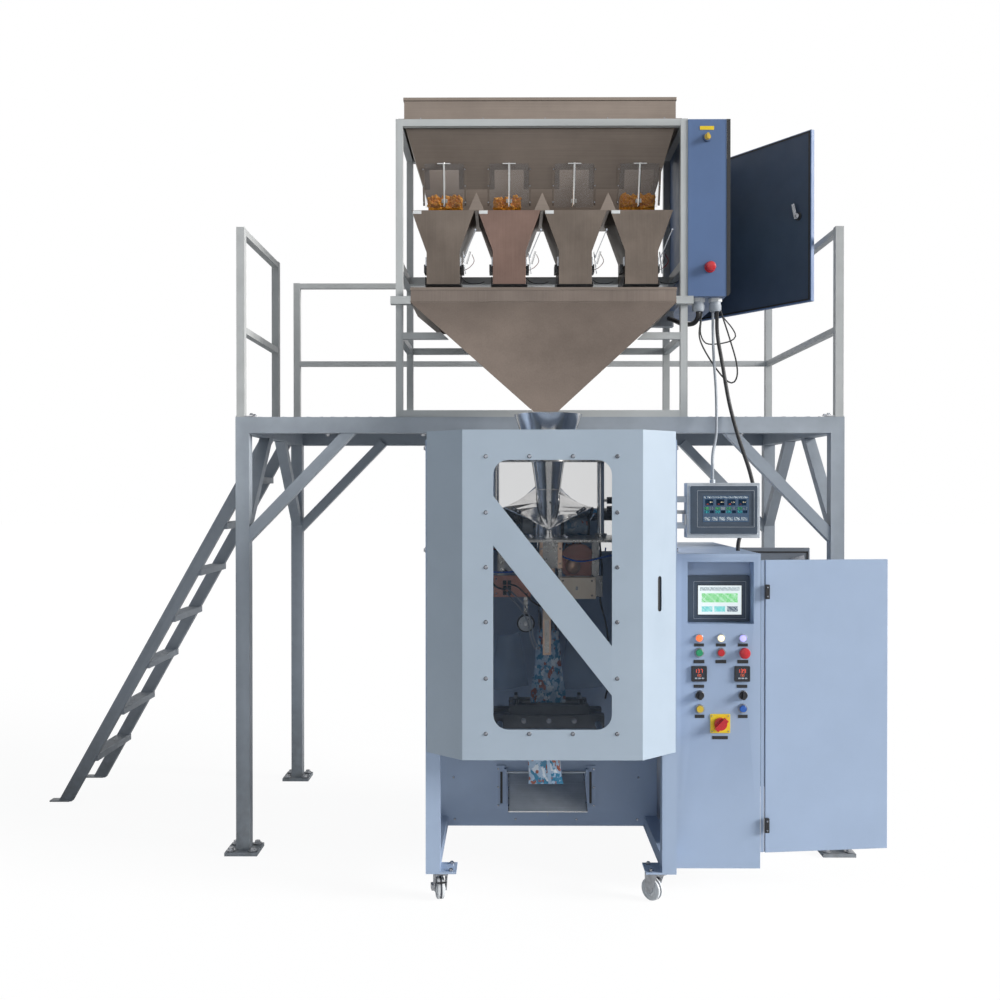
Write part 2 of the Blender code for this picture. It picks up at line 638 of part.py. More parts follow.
def front_cover():
    outside = [(-0.376, COVER_DEPTH), (-COVER_SIDE, COVER_DEPTH), (-COVER_HALF, 0.0), (COVER_HALF, 0.0),
               (COVER_SIDE, COVER_DEPTH), (0.376, COVER_DEPTH)]
    section = outside + list(reversed(cover_profile(SHEET)))
    body = prism(section, "z", COVER_LOW, COVER_HIGH)
    lips = []
    for z in (COVER_LOW, COVER_HIGH - SHEET):
        lip = [(-0.383, 0.093), (-0.281, 0.001), (0.281, 0.001), (0.383, 0.093), (0.350, 0.093),
               (0.266, 0.022), (-0.266, 0.022), (-0.350, 0.093)]
        lips.append(prism(lip, "z", z + 0.0001, z + SHEET - 0.0001))
    half, low, high, radius = WINDOW
    opening = prism(rounded(half, low, high, radius), "y", -CUT, 0.012)
    down = (math.cos(BAND_ANGLE), 0, -math.sin(BAND_ANGLE))
    band = slab((0, 0, BAND_MIDDLE_Z), down, (math.sin(BAND_ANGLE), 0, math.cos(BAND_ANGLE)), (0, 1, 0),
                1.2, BAND_WIDTH, 0.08)
    pane_shape = bpy.data.objects.new("piece", combine([opening], [band]))
    bpy.context.scene.collection.objects.link(pane_shape)
    # The hand slot in the right-hand slope.
    lean = math.atan2(COVER_DEPTH, COVER_SIDE - COVER_HALF)
    grip = prism(rounded(0.009, -0.056, 0.056, 0.0088, 4), "y", -0.02, 0.02)
    middle = Vector((COVER_HALF + 0.5045 * (COVER_SIDE - COVER_HALF), 0.5045 * COVER_DEPTH, 1.013))
    grip.data.transform(Matrix.Translation(middle) @ Matrix.Rotation(lean, 4, "Z"))
    pivot = (-COVER_SIDE, COVER_DEPTH, (COVER_LOW + COVER_HIGH) / 2)
    node("front_cover", frame_paint, [body] + lips, [pane_shape, grip], origin=pivot)
    half, low, high, thick = PANE
    node("cover_window", clear, [box(-half, half, SHEET + GAP, SHEET + GAP + thick, low, high)])


def forming_tube():
    w = TUBE_WALL
    profile = ((0.117, 1.599), (0.0555, 1.433), (0.042, 1.342), (TUBE_R, 1.329), (TUBE_R, 0.860),
               (TUBE_R - w, 0.860), (TUBE_R - w, 1.3295), (0.042 - w, 1.3425), (0.0555 - w, 1.4335), (0.117 - w, 1.5995))
    ring = ((0.0548, 1.4465 + GAP), (0.078, 1.4465 + GAP), (0.078, 1.4515), (0.0575, 1.4515))
    middle = (0.0, AXIS_Y, 0.0)
    node("forming_tube", polished, [turned(profile, middle, (0, 0, 1), 24), turned(ring, middle, (0, 0, 1), 24)])


def forming_collar():
    """The forming shoulder: it rises round the tube from a low front to a high back."""
    base = TABLE_Z + TABLE_T + GAP
    low, high = 1.212, 1.385
    turns = 36
    rim = ((0, 0.064, 1.206), (42, 0.095, 1.243), (80, 0.153, 1.283), (104, 0.162, 1.275),
           (140, 0.205, 1.216), (180, 0.170, 1.206))

    def outer(angle):
        for (a0, r0, z0), (a1, r1, z1) in zip(rim, rim[1:]):
            if a0 <= angle <= a1:
                t = (angle - a0) / (a1 - a0)
                return r0 + t * (r1 - r0), z0 + t * (z1 - z0)
    thick = 0.0035
    wall = 0.003
    points, faces = [], []
    for i in range(turns):
        degrees = 360 * i / turns
        folded = degrees if degrees <= 180 else 360 - degrees
        reach, edge = outer(folded)
        top = low + (high - low) * ((1 - math.cos(math.radians(folded))) / 2) ** 0.8
        # Above the straight tube the shoulder's inner edge follows the funnel's flare.
        inner = max(COLLAR_R, 0.044 + (top - 1.342) * 0.15)
        x, y = math.sin(math.radians(degrees)), -math.cos(math.radians(degrees))
        # Where the sheet is steep its underside starts lower, so that the lip isn't a knife edge.
        under = top - thick - 0.001 - wall * max(0.0, (top - edge) / (reach - inner))
        for r, z in ((inner, top), (reach, edge), (reach, edge - thick),
                     (inner + wall, under), (COLLAR_R + wall, base + 0.004),
                     (COLLAR_R + 0.018, base + 0.004), (COLLAR_R + 0.018, base), (COLLAR_R, base)):
            points.append((x * r, AXIS_Y + y * r, z))
    ring = 8
    underside = 2
    for i in range(turns):
        here, there = i * ring, (i + 1) % turns * ring
        for a in range(ring):
            b = (a + 1) % ring
            # The twisted sheet is split the same way above and below, so that it keeps its thickness.
            if a == underside:
                faces += [(here + a, here + b, there + a), (here + b, there + b, there + a)]
            else:
                faces += [(here + a, here + b, there + b), (here + a, there + b, there + a)]
    node("forming_collar", polished, [raw(points, faces)])


def under_table():
    """What hangs below the table: the seal bar's carrier and the belt units' arms."""
    top = TABLE_Z + 0.001
    pieces = [box(-0.032, 0.042, 0.240, 0.300, 1.080, top), box(0.034, 0.1555, 0.262, 0.300, 0.977, 1.047),
              box(0.030, 0.042, 0.262, 0.300, 1.000, 1.090)]
    slot = box(-0.0215, 0.0265, 0.290, 0.310, 1.060, 1.140)
    for side in SIDES:
        near, far = AXIS_Y - 0.010, AXIS_Y + 0.010
        hub = (side * PULLEY_X, AXIS_Y, PULLEY_Z)
        pieces += [box(*sorted((side * 0.060, side * 0.186)), near - 0.002, far + 0.002, 0.975, 1.046),
                   box(*sorted((side * 0.150, side * 0.174)), near, far, 1.040, top),
                   box(*sorted((side * 0.070, side * 0.084)), near, far, 0.880, 0.980),
                   box(*sorted((side * 0.066, side * 0.088)), near - 0.002, far + 0.002, 0.872, 0.902),
                   rod(hub, (hub[0], AXIS_Y - 0.048, hub[2]), 0.006, 12)]
    return pieces, slot


def collar_table():
    half = BODY_HALF - TUBE - GAP + 0.030
    plate = box(-half, half, BODY_FRONT + TUBE + 0.004, MID_POST_Y - 0.004, TABLE_Z, TABLE_Z + TABLE_T)
    posts = [rod((side * POST_X, AXIS_Y, TABLE_Z + 0.002), (side * POST_X, AXIS_Y, BRACKET_Z + 0.006), 0.012, 16)
             for side in SIDES]
    bracket = box(-POST_X - 0.020, POST_X + 0.020, AXIS_Y - 0.020, AXIS_Y + 0.020, BRACKET_Z, BRACKET_Z + 0.010)
    hub = rod((0, AXIS_Y, BRACKET_Z + 0.0005), (0, AXIS_Y, BRACKET_Z + 0.0095), 0.074, 28)
    bores = [rod((0, AXIS_Y, TABLE_Z - CUT), (0, AXIS_Y, TABLE_Z + 2 * CUT), COLLAR_R, 28),
             rod((0, AXIS_Y, BRACKET_Z - CUT), (0, AXIS_Y, BRACKET_Z + 2 * CUT), 0.0615, 28)]
    below, slot = under_table()
    node("collar_table", zinc, [plate, bracket, hub] + posts + below, bores + [slot])


def seal_bar():
    """The vertical heater bar in front of the tube, sliding in its carrier's slot."""
    bar_piece = box(-0.0200, 0.0075, 0.3005, 0.3140, 0.782, 1.055)
    arm = box(-0.016, 0.020, 0.2905, 0.309, 1.035, 1.115)
    node("vertical_seal_bar", zinc, [bar_piece, arm], origin=(0.0, 0.307, 0.92))


def pull_pulleys():
    for side, label in ((-1, "left"), (1, "right")):
        bore = 0.006 + RUN
        profile = ((bore, -0.015), (0.030, -0.015), (0.030, -0.012), (0.0275, -0.010), (0.0275, 0.010),
                   (0.030, 0.012), (0.030, 0.015), (bore, 0.015))
        middle = (side * PULLEY_X, AXIS_Y - 0.030, PULLEY_Z)
        node(f"pull_pulley_{label}", tyre, [turned(profile, middle, (0, 1, 0), 24)], origin=middle)


def jaw_guides():
    """The two round bars the jaws slide on, and the cross bar that holds their front ends."""
    front = BODY_FRONT + 0.008
    half = BODY_HALF - TUBE + 0.004
    bars = [rod((side * ROD_X, front + 0.004, ROD_Z), (side * ROD_X, MID_POST_Y, ROD_Z), ROD_R, 16) for side in SIDES]
    return bars + [box(-half, half, front, front + 0.020, ROD_Z - 0.018, ROD_Z + 0.018)]


def jaws():
    for name, side in (("front_jaw", -1), ("rear_jaw", 1)):
        face = AXIS_Y + side * JAW_OPEN
        a, b = sorted((face, face + side * 0.040))
        body = box(-0.135, 0.135, a, b, JAW_Z - 0.022, JAW_Z + 0.026)
        carriage = box(-ROD_X - 0.022, ROD_X + 0.022, *sorted((face + side * 0.006, face + side * 0.044)),
                       ROD_Z - 0.020, JAW_Z - 0.006)
        bores = [rod((s * ROD_X, 0.2, ROD_Z), (s * ROD_X, 0.6, ROD_Z), ROD_R + RUN, 16) for s in SIDES]
        node(name, black, [body, carriage], bores, origin=(0.0, face, JAW_Z))


def film_feed():
    middle = (0.0, 0.850, 0.420)
    profile = ((0, -0.3455), (0.012, -0.3455), (0.012, -0.200), (0.130, -0.200), (0.130, 0.200), (0.012, 0.200),
               (0.012, 0.3455), (0, 0.3455))
    node("film_roll", film_look, [turned(profile, middle, (1, 0, 0), 32)], origin=middle)
    end = BODY_HALF - TUBE - GAP
    middle = (0.0, MID_POST_Y + TUBE / 2, 1.252)
    profile = ((0, -end), (0.008, -end), (0.008, -end + 0.010), (0.022, -end + 0.010), (0.022, end - 0.010),
               (0.008, end - 0.010), (0.008, end), (0, end))
    node("upper_roller", black, [turned(profile, middle, (1, 0, 0), 20)], origin=middle)


def discharge_chute():
    back, front = Vector((0, 0.543, 0.325)), Vector((0, 0.370, 0.231))
    along = (front - back).normalized()
    out = Vector((0, along.z, -along.y))
    middle = (back + front) / 2
    left, right = -0.136, 0.136
    pieces = [slab(middle, (1, 0, 0), along, out, right - left, (front - back).length, 0.0025)]
    for x in (left, right):
        pieces.append(slab(middle - out * 0.010, (1, 0, 0), along, out, 0.0025, (front - back).length - 0.001, 0.022))
    end = CHUTE_LUG - GAP
    pieces.append(rod((-end, back.y - 0.006, back.z - 0.001), (end, back.y - 0.006, back.z - 0.001), 0.005, 12))
    node("discharge_chute", brushed, pieces, origin=(0.0, back.y - 0.006, back.z - 0.001))


def casters():
    spots = (("front_left", -CASTER_X, CASTER_FRONT_Y, 101), ("front_right", CASTER_X, CASTER_FRONT_Y, 133),
             ("rear_left", -CASTER_X, CASTER_REAR_Y, 90), ("rear_right", CASTER_X, CASTER_REAR_Y, 60))
    for label, x, y, heading in spots:
        angle = math.radians(heading)
        along = Vector((math.cos(angle), math.sin(angle), 0))
        across = Vector((-along.y, along.x, 0))
        swivel = Vector((x, y, 0))
        hub = swivel + along * TRAIL + Vector((0, 0, WHEEL_R))
        top = FOOT_Z - GAP
        cheek_gap = WHEEL_W / 2 + 0.002
        bearing = turned(((0, top), (0.027, top), (0.029, top - 0.004), (0.029, top - 0.009), (0.024, top - 0.013),
                          (0, top - 0.013)), (x, y, 0), (0, 0, 1), 20)
        crown = slab(swivel + along * 0.010 + Vector((0, 0, top - 0.0135)), along, across, (0, 0, 1),
                     0.058, 2 * (cheek_gap + 0.0021), 0.004)
        pieces = [bearing, crown]
        for side in SIDES:
            foot = hub + across * (side * (cheek_gap + 0.0015))
            head = foot + along * -0.020 + Vector((0, 0, top - 0.014 - WHEEL_R))
            outline = [foot + along * 0.012 + Vector((0, 0, -0.008)), foot - along * 0.012 + Vector((0, 0, -0.008)),
                       head - along * 0.016, head + along * 0.034]
            pieces.append(stack([[p + across * k for p in outline] for k in (-0.0015, 0.0015)]))
        reach = across * (cheek_gap + 0.004)
        pieces.append(rod(hub - reach, hub + reach, 0.005, 12))
        if label == "front_left":
            lever = hub + across * (cheek_gap + 0.0065) + Vector((0, 0, 0.004))
            pieces.append(slab(lever, across, along, (0, 0, 1), 0.009, 0.030, 0.018))
        node(f"caster_fork_{label}", zinc, pieces, origin=swivel + Vector((0, 0, top)))
        half, bore = WHEEL_W / 2, 0.005 + RUN
        profile = ((bore, -half), (0.016, -half), (0.020, -half + 0.004), (0.030, -half + 0.003),
                   (0.0365, -half + 0.006), (WHEEL_R, -0.004), (0.035, -0.0015), (0.035, 0.0015), (WHEEL_R, 0.004),
                   (0.0365, half - 0.006), (0.030, half - 0.003), (0.020, half - 0.004), (0.016, half), (bore, half))
        node(f"caster_wheel_{label}", tyre, [turned(profile, hub, across, 20)], origin=hub)


# ---------------------------------------------------------------- control cabinet

CONTROLS = (("start_button", green, 0.4959, 0.8009), ("stop_button", red, 0.5683, 0.8009),
            ("jog_button", yellow, 0.4982, 0.6141), ("reset_button", blue, 0.6413, 0.6151))
SELECTORS = (("selector_left", 0.4976, 0.6599), ("selector_right", 0.6413, 0.6599))
STOP = (0.6443, 0.8009)
MAIN_SWITCH = (0.566, 0.5653)
CAP_R = 0.0115


def control_cabinet():
    wall = SHEET
    rim = 0.022
    left, right, low, high, deep = RECESS
    body = box(CAB_LEFT, CAB_RIGHT, CAB_FRONT, CAB_BACK, CAB_LOW, CAB_HIGH)
    inside = box(CAB_LEFT + wall, CAB_RIGHT - wall, CAB_FRONT + wall, CAB_BACK - wall, CAB_LOW + wall, CAB_HIGH - wall)
    mouth = box(CAB_RIGHT - 0.05, CAB_RIGHT + CUT, CAB_FRONT + rim, CAB_BACK - rim, CAB_DOOR_LOW + 0.010,
                CAB_DOOR_HIGH - 0.010)
    hollowed = bpy.data.objects.new("piece", combine([body], [inside, mouth]))
    bpy.context.scene.collection.objects.link(hollowed)
    pieces = [hollowed, box(left - wall, right + wall, CAB_FRONT + 0.001, CAB_FRONT + deep + wall, low - wall, high + wall)]
    for z in (0.118, 1.000):
        pieces.append(box(BODY_HALF + GAP, CAB_LEFT + 0.001, 0.300, 0.540, z, z + 0.036))
    cuts = [box(left, right, CAB_FRONT - CUT, CAB_FRONT + deep, low, high)]
    spots = [(x, z) for _, _, x, z in CONTROLS] + [(x, z) for _, x, z in SELECTORS] + [STOP]
    for x, z in spots:
        pieces.append(rod((x, CAB_FRONT + 0.001, z), (x, CAB_FRONT - 0.006, z), 0.0148, 16))
        cuts.append(rod((x, CAB_FRONT - CUT, z), (x, CAB_FRONT - 0.0005, z), CAP_R + RUN, 16))
    node("control_cabinet", frame_paint, pieces, cuts)


def cabinet_controls():
    for name, look, x, z in CONTROLS:
        cap = rod((x, CAB_FRONT - 0.0105, z), (x, CAB_FRONT - 0.0045, z), CAP_R, 16)
        node(name, look, [cap], origin=(x, CAB_FRONT, z))
    for name, x, z in SELECTORS:
        knob_on(name, black, x, CAB_FRONT, z, CAP_R - 0.001, 0.024)
    mushroom_on("emergency_stop", STOP[0], CAB_FRONT, STOP[1], 0.0185)
    x, z = MAIN_SWITCH
    skirt = rod((x, CAB_FRONT - 0.0045, z), (x, CAB_FRONT - 0.016, z), 0.021, 20)
    grip = slab((x, CAB_FRONT - 0.0225, z), (1, 0, -1), (1, 0, 1), (0, 1, 0), 0.016, 0.050, 0.015)
    node("main_switch", red, [skirt, grip], origin=(x, CAB_FRONT, z))


def cabinet_doors():
    for name, width, pivot_y, side, turn in (
            ("cabinet_front_door", FRONT_LEAF, CAB_FRONT - 0.001, 1, -FRONT_LEAF_OPEN),
            ("cabinet_rear_door", REAR_LEAF, CAB_BACK + 0.001, -1, REAR_LEAF_OPEN)):
        pivot = (CAB_HINGE_X, pivot_y, 0.0)
        y0, y1 = sorted((pivot_y + side * 0.004, pivot_y + side * width))
        leaf = box(CAB_RIGHT + 0.0006, CAB_HINGE_X, y0, y1, CAB_DOOR_LOW, CAB_DOOR_HIGH)
        node(name, frame_paint, turned_about([leaf], pivot, turn),
             origin=(pivot[0], pivot[1], (CAB_DOOR_LOW + CAB_DOOR_HIGH) / 2))


def pendant():
    left, right, front, back, low, high = PENDANT
    body = box(left, right, front, back, low, high)
    arms = [box(BODY_HALF + GAP, left + 0.002, front + 0.012, front + 0.030, z, z + 0.020) for z in (1.215, 1.300)]
    seat = box(left + 0.009, right - 0.009, front - 0.004, front + 0.001, low + 0.012, high - 0.010)
    boss = rod((PENDANT_GLAND[0], PENDANT_GLAND[1], high - 0.002), (PENDANT_GLAND[0], PENDANT_GLAND[1], high + 0.012),
               0.009, 12)
    node("pendant_screen", brushed, [body, seat, boss] + arms)


# ---------------------------------------------------------------- free cables

GREY_ROUTE = ((0.6255, 0.680, 2.0057), (0.6255, 0.680, 1.970), (0.6255, 0.680, 1.935), (0.624, 0.655, 1.830),
              (0.622, 0.600, 1.700), (0.612, 0.540, 1.560), (0.575, 0.380, 1.500), (0.540, 0.220, 1.475),
              (0.530, 0.185, 1.445), (0.530, 0.185, 1.410), (0.530, 0.185, 1.3753))
BLACK_ROUTE = ((0.6405, 0.680, 2.0057), (0.6405, 0.680, 1.965), (0.6405, 0.680, 1.925), (0.652, 0.640, 1.812),
               (0.672, 0.610, 1.661), (0.700, 0.580, 1.531), (0.730, 0.530, 1.405), (0.738, 0.480, 1.306),
               (0.705, 0.440, 1.238), (0.664, 0.420, 1.205), (0.664, 0.420, 1.168), (0.664, 0.420, 1.1293))


def smooth_route(route, spacing):
    """Points along a smooth curve through the route, this far apart."""
    route = [Vector(p) for p in route]
    padded = [2 * route[0] - route[1]] + route + [2 * route[-1] - route[-2]]
    fine = []
    for a, b, c, d in zip(padded, padded[1:], padded[2:], padded[3:]):
        for i in range(24):
            t = i / 24
            fine.append(0.5 * (2 * b + (c - a) * t + (2 * a - 5 * b + 4 * c - d) * t * t
                               + (3 * b - a - 3 * c + d) * t ** 3))
    fine.append(route[-1])
    length = sum((q - p).length for p, q in zip(fine, fine[1:]))
    count = max(2, round(length / spacing))
    made, run, target = [fine[0]], 0.0, length / count
    for p, q in zip(fine, fine[1:]):
        piece = (q - p).length
        while run + piece >= target and len(made) < count:
            made.append(p.lerp(q, (target - run) / piece))
            target += length / count
        run += piece
    return made + [fine[-1]]


def cable(name, look, route, diameter):
    curve = bpy.data.curves.new(name, "CURVE")
    curve.dimensions = "3D"
    curve.bevel_depth = diameter / 2
    curve.bevel_resolution = 2
    curve.use_fill_caps = True
    points = smooth_route(route, 2.6 * diameter)
    line = curve.splines.new("POLY")
    line.points.add(len(points) - 1)
    for spot, place in zip(line.points, points):
        spot.co = (*place, 1.0)
    curve.materials.append(look)
    made = bpy.data.objects.new(name, curve)
    made.parent = assembly
    bpy.context.scene.collection.objects.link(made)
    nodes.append(made)


platform()
guards()
ladder()
weigher_frame()
top_bin()
feed_gates()
feeder_bank()
weigh_hoppers()
hopper_flaps()
collecting_hopper()
weigher_cabinet()
knob_on("weigher_isolator", red, 0.594, WC[2], 2.636, 0.0085, 0.022)
mushroom_on("weigher_stop", 0.605, WC[2], 2.160, 0.0185)
machine_frame()
front_cover()
forming_tube()
forming_collar()
collar_table()
seal_bar()
pull_pulleys()
jaws()
film_feed()
discharge_chute()
casters()
control_cabinet()
cabinet_controls()
cabinet_doors()
pendant()
cable("pendant_cable", cable_grey, GREY_ROUTE, 0.010)
cable("black_conduit", cable_black, BLACK_ROUTE, 0.014)

# Stand the whole machine on the origin: the middle of its box at floor level.
bpy.context.view_layer.update()
corners = [item.matrix_world @ Vector(corner) for item in nodes for corner in item.bound_box]
for axis in (0, 1):
    values = [corner[axis] for corner in corners]
    assembly.location[axis] = -(min(values) + max(values)) / 2
assembly.location[2] = -min(corner[2] for corner in corners)
bpy.context.view_layer.update()
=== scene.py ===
"""Finished look of the vertical form fill sealer: cables, paint, steel, screens and small fittings."""

import math

import bmesh
import bpy
from mathutils import Matrix, Vector


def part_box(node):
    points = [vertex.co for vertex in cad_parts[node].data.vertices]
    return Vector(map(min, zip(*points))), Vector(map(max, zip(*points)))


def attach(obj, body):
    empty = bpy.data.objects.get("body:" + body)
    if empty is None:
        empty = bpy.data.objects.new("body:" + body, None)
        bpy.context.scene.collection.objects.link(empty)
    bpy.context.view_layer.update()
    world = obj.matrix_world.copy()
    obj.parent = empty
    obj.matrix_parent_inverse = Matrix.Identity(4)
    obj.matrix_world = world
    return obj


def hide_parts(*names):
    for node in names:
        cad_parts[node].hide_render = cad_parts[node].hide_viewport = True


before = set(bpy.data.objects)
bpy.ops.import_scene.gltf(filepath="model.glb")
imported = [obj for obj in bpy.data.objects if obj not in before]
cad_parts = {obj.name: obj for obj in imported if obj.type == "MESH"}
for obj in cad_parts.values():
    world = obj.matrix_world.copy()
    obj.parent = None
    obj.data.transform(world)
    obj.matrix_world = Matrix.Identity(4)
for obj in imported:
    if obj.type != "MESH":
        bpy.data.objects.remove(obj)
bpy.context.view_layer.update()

# Places below are in metres from the film tube's plane (X), the front of the cover (Y) and the floor (Z).
cover_low, cover_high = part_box("front_cover")
ORIGIN = Vector(((cover_low[0] + cover_high[0]) / 2, cover_low[1], 0.0))
SIDES = (-1, 1)
UP, FACING_FRONT = (0, 0, 1), (0, -1, 0)
TUBE_Y = 0.36         # the forming tube's axis
LEAF_FACE = 0.7008    # the inner face of both control cabinet doors when shut


def at(x, y, z):
    return Vector((x, y, z)) + ORIGIN


def placed(name, data):
    """A new object in the scene."""
    made = bpy.data.objects.new(name, data)
    bpy.context.scene.collection.objects.link(made)
    return made


# ---------------------------------------------------------------- camera

camera_data = bpy.data.cameras.new("camera")
camera_data.lens = 38.65
camera_data.sensor_width = 36.0
camera = placed("camera", camera_data)
camera.location = at(-0.143, -3.326, 1.332)
camera.rotation_euler = (math.pi / 2 - 0.007, 0.0, 0.006)
bpy.context.scene.camera = camera


# ---------------------------------------------------------------- node helpers

def put(tree, kind, inputs=None, **values):
    """A new node with its settings; an input that is another node's socket is linked."""
    made = tree.nodes.new(kind)
    for key, value in values.items():
        setattr(made, key, value)
    for key, value in (inputs or {}).items():
        if isinstance(value, bpy.types.NodeSocket):
            tree.links.new(value, made.inputs[key])
        else:
            made.inputs[key].default_value = value
    return made


def times(tree, first, second):
    return put(tree, "ShaderNodeMath", {0: first, 1: second}, operation="MULTIPLY").outputs[0]


def noise(tree, place, scale, detail, **inputs):
    made = put(tree, "ShaderNodeTexNoise", {"Vector": place, "Scale": scale, "Detail": detail, **inputs})
    return made.outputs["Fac"]


def remap(tree, value, start, end, low=0.0, high=1.0):
    return put(tree, "ShaderNodeMapRange", {"Value": value, "From Min": start, "From Max": end,
        "To Min": low, "To Max": high}).outputs["Result"]


def mixed(tree, share, first, second, blend):
    return put(tree, "ShaderNodeMix", {"Factor": share, 6: first, 7: second}, data_type="RGBA",
               blend_type=blend).outputs[2]


# ---------------------------------------------------------------- finishes

DUST_COLOUR = (0.42, 0.37, 0.3, 1.0)


def finish(name, colour, metallic=0.0, roughness=0.4, spread=0.08, mottle=6.0, tone=0.1, grain=None,
           bump=(420.0, 0.03), wear=0.0, dust=None, **sockets):
    """A surface with mottled colour, uneven gloss and a fine relief, all in the piece's own space."""
    made = bpy.data.materials.new(name)
    made.use_nodes = True
    tree = made.node_tree
    shader = tree.nodes["Principled BSDF"]
    shader.inputs["Metallic"].default_value = metallic
    for socket, value in sockets.items():
        shader.inputs[socket.replace("_", " ")].default_value = value
    place = put(tree, "ShaderNodeTexCoord").outputs["Object"]
    shade = put(tree, "ShaderNodeValToRGB", {"Fac": noise(tree, place, mottle, 6.0, Roughness=0.62)})
    for stop, position, share in zip(shade.color_ramp.elements, (0.3, 0.72), (1 - tone, 1 + tone)):
        stop.position = position
        stop.color = (*[min(1.0, c * share) for c in colour], 1.0)
    result = shade.outputs["Color"]
    if grain:
        stretch, strength = grain
        along = put(tree, "ShaderNodeMapping", {"Vector": place, "Scale": stretch}).outputs["Vector"]
        streaks = remap(tree, noise(tree, along, 1.0, 3.0), 0.3, 0.7, 0.55, 1.25)
        result = mixed(tree, strength, result, streaks, "MULTIPLY")
    if wear:
        edges = remap(tree, put(tree, "ShaderNodeNewGeometry").outputs["Pointiness"], 0.53, 0.6)
        result = mixed(tree, times(tree, edges, wear), result, shade.outputs["Color"], "SCREEN")
    if dust:
        top, strength = dust
        height = put(tree, "ShaderNodeSeparateXYZ", {"Vector": place}).outputs["Z"]
        cover = times(tree, remap(tree, height, 0.0, top, strength, 0.0), noise(tree, place, 38.0, 8.0))
        result = mixed(tree, cover, result, DUST_COLOUR, "MULTIPLY")
    fine = noise(tree, along, 1.7, 4.0) if grain else noise(tree, place, bump[0], 4.0)
    gloss = remap(tree, noise(tree, place, mottle * 2.7, 7.0), 0.25, 0.75, max(0.02, roughness - spread),
        roughness + spread)
    relief = put(tree, "ShaderNodeBump", {"Strength": bump[1], "Distance": 0.001, "Height": fine})
    tree.links.new(result, shader.inputs["Base Color"])
    tree.links.new(gloss, shader.inputs["Roughness"])
    tree.links.new(relief.outputs["Normal"], shader.inputs["Normal"])
    return made


cover_paint = finish("cover_paint", (0.35, 0.42, 0.5), roughness=0.38, tone=0.03, bump=(900, 0.05),
    wear=0.25, Coat_Weight=0.15)
cabinet_paint = finish("cabinet_paint", (0.31, 0.395, 0.545), roughness=0.4, tone=0.03, bump=(900, 0.05),
    wear=0.2)
platform_paint = finish("platform_paint", (0.3, 0.335, 0.38), roughness=0.45, tone=0.09, mottle=9,
    bump=(500, 0.08), wear=0.35, dust=(0.5, 0.9))
# The ladder's paint is the platform paint at three quarters of its brightness, darker to stand for the shade
# the ladder stands in: painted shade.
shaded_ladder_paint = finish("shaded_ladder_paint", (0.225, 0.25, 0.285), roughness=0.45, tone=0.09, mottle=9,
    bump=(500, 0.08), wear=0.35, dust=(0.5, 0.9))
rail_paint = finish("rail_paint", (0.4, 0.41, 0.41), roughness=0.42, tone=0.08, mottle=12,
    bump=(500, 0.07), wear=0.3)
weigher_paint = finish("weigher_paint", (0.4, 0.415, 0.415), roughness=0.4, tone=0.05, bump=(600, 0.06),
    wear=0.3)
slate_paint = finish("slate_paint", (0.082, 0.142, 0.285), roughness=0.42, tone=0.06, bump=(700, 0.1),
    wear=0.15)
# The dark navy below is painted shade: the weigher door's inner face in shade, far darker than the door's own
# slate paint.
navy_paint = finish("navy_paint", (0.034, 0.056, 0.1), roughness=0.55, tone=0.12, bump=(500, 0.25))
leaf_paint = finish("leaf_paint", (0.17, 0.19, 0.22), roughness=0.45, tone=0.06, bump=(700, 0.08))
# The weigher steels below, brushed, hopper and rose, are one stainless set far darker and browner than bare
# steel, each to its own depth, standing for the dark room they reflect: painted dark reflection.
brushed_x = finish("brushed_steel_across", (0.2, 0.165, 0.14), metallic=1.0, roughness=0.4, spread=0.06,
    mottle=2.2, tone=0.2, grain=((3, 260, 260), 0.16), bump=(1.7, 0.05), Anisotropic=0.5)
brushed_z = finish("brushed_steel_upright", (0.205, 0.168, 0.145), metallic=1.0, roughness=0.38,
    spread=0.06, mottle=2.0, tone=0.24, grain=((240, 240, 3), 0.16), bump=(1.7, 0.05), Anisotropic=0.5)
hopper_steel = finish("hopper_steel", (0.152, 0.124, 0.104), metallic=1.0, roughness=0.4, spread=0.07,
    mottle=5.0, tone=0.2, grain=((220, 220, 6), 0.15), bump=(1.7, 0.05), Anisotropic=0.4)
rose_steel = finish("rose_steel", (0.175, 0.116, 0.096), metallic=1.0, roughness=0.38, spread=0.07,
    mottle=5.0, tone=0.2, grain=((220, 220, 6), 0.15), bump=(1.7, 0.05), Anisotropic=0.4)
tray_steel = finish("tray_steel", (0.44, 0.48, 0.53), metallic=0.45, roughness=0.46, spread=0.08,
    mottle=9.0, tone=0.18, grain=((6, 260, 260), 0.2), bump=(1.7, 0.06))
chrome = finish("chrome", (0.8, 0.79, 0.78), metallic=1.0, roughness=0.16, spread=0.05, mottle=14,
    tone=0.1, bump=(260, 0.02))
ground_steel = finish("ground_steel", (0.48, 0.47, 0.45), metallic=1.0, roughness=0.3, spread=0.1,
    mottle=20, tone=0.18, bump=(700, 0.08), wear=0.2)
zinc_plate = finish("zinc_plate", (0.42, 0.43, 0.45), metallic=1.0, roughness=0.36, spread=0.12, mottle=60,
    tone=0.2, bump=(350, 0.08), wear=0.2)
screw_steel = finish("screw_steel", (0.34, 0.35, 0.38), metallic=1.0, roughness=0.2, spread=0.08,
    mottle=300, tone=0.15, bump=(1200, 0.05), wear=0.3)
bronze = finish("bronze_block", (0.92, 0.6, 0.44), metallic=0.85, roughness=0.42, spread=0.1, mottle=18,
    tone=0.16, grain=((12, 300, 300), 0.25), bump=(1.7, 0.08), wear=0.2)
sand_block = finish("sand_block", (0.98, 0.79, 0.62), metallic=0.3, roughness=0.5, mottle=15, tone=0.1,
    bump=(500, 0.1), wear=0.2)
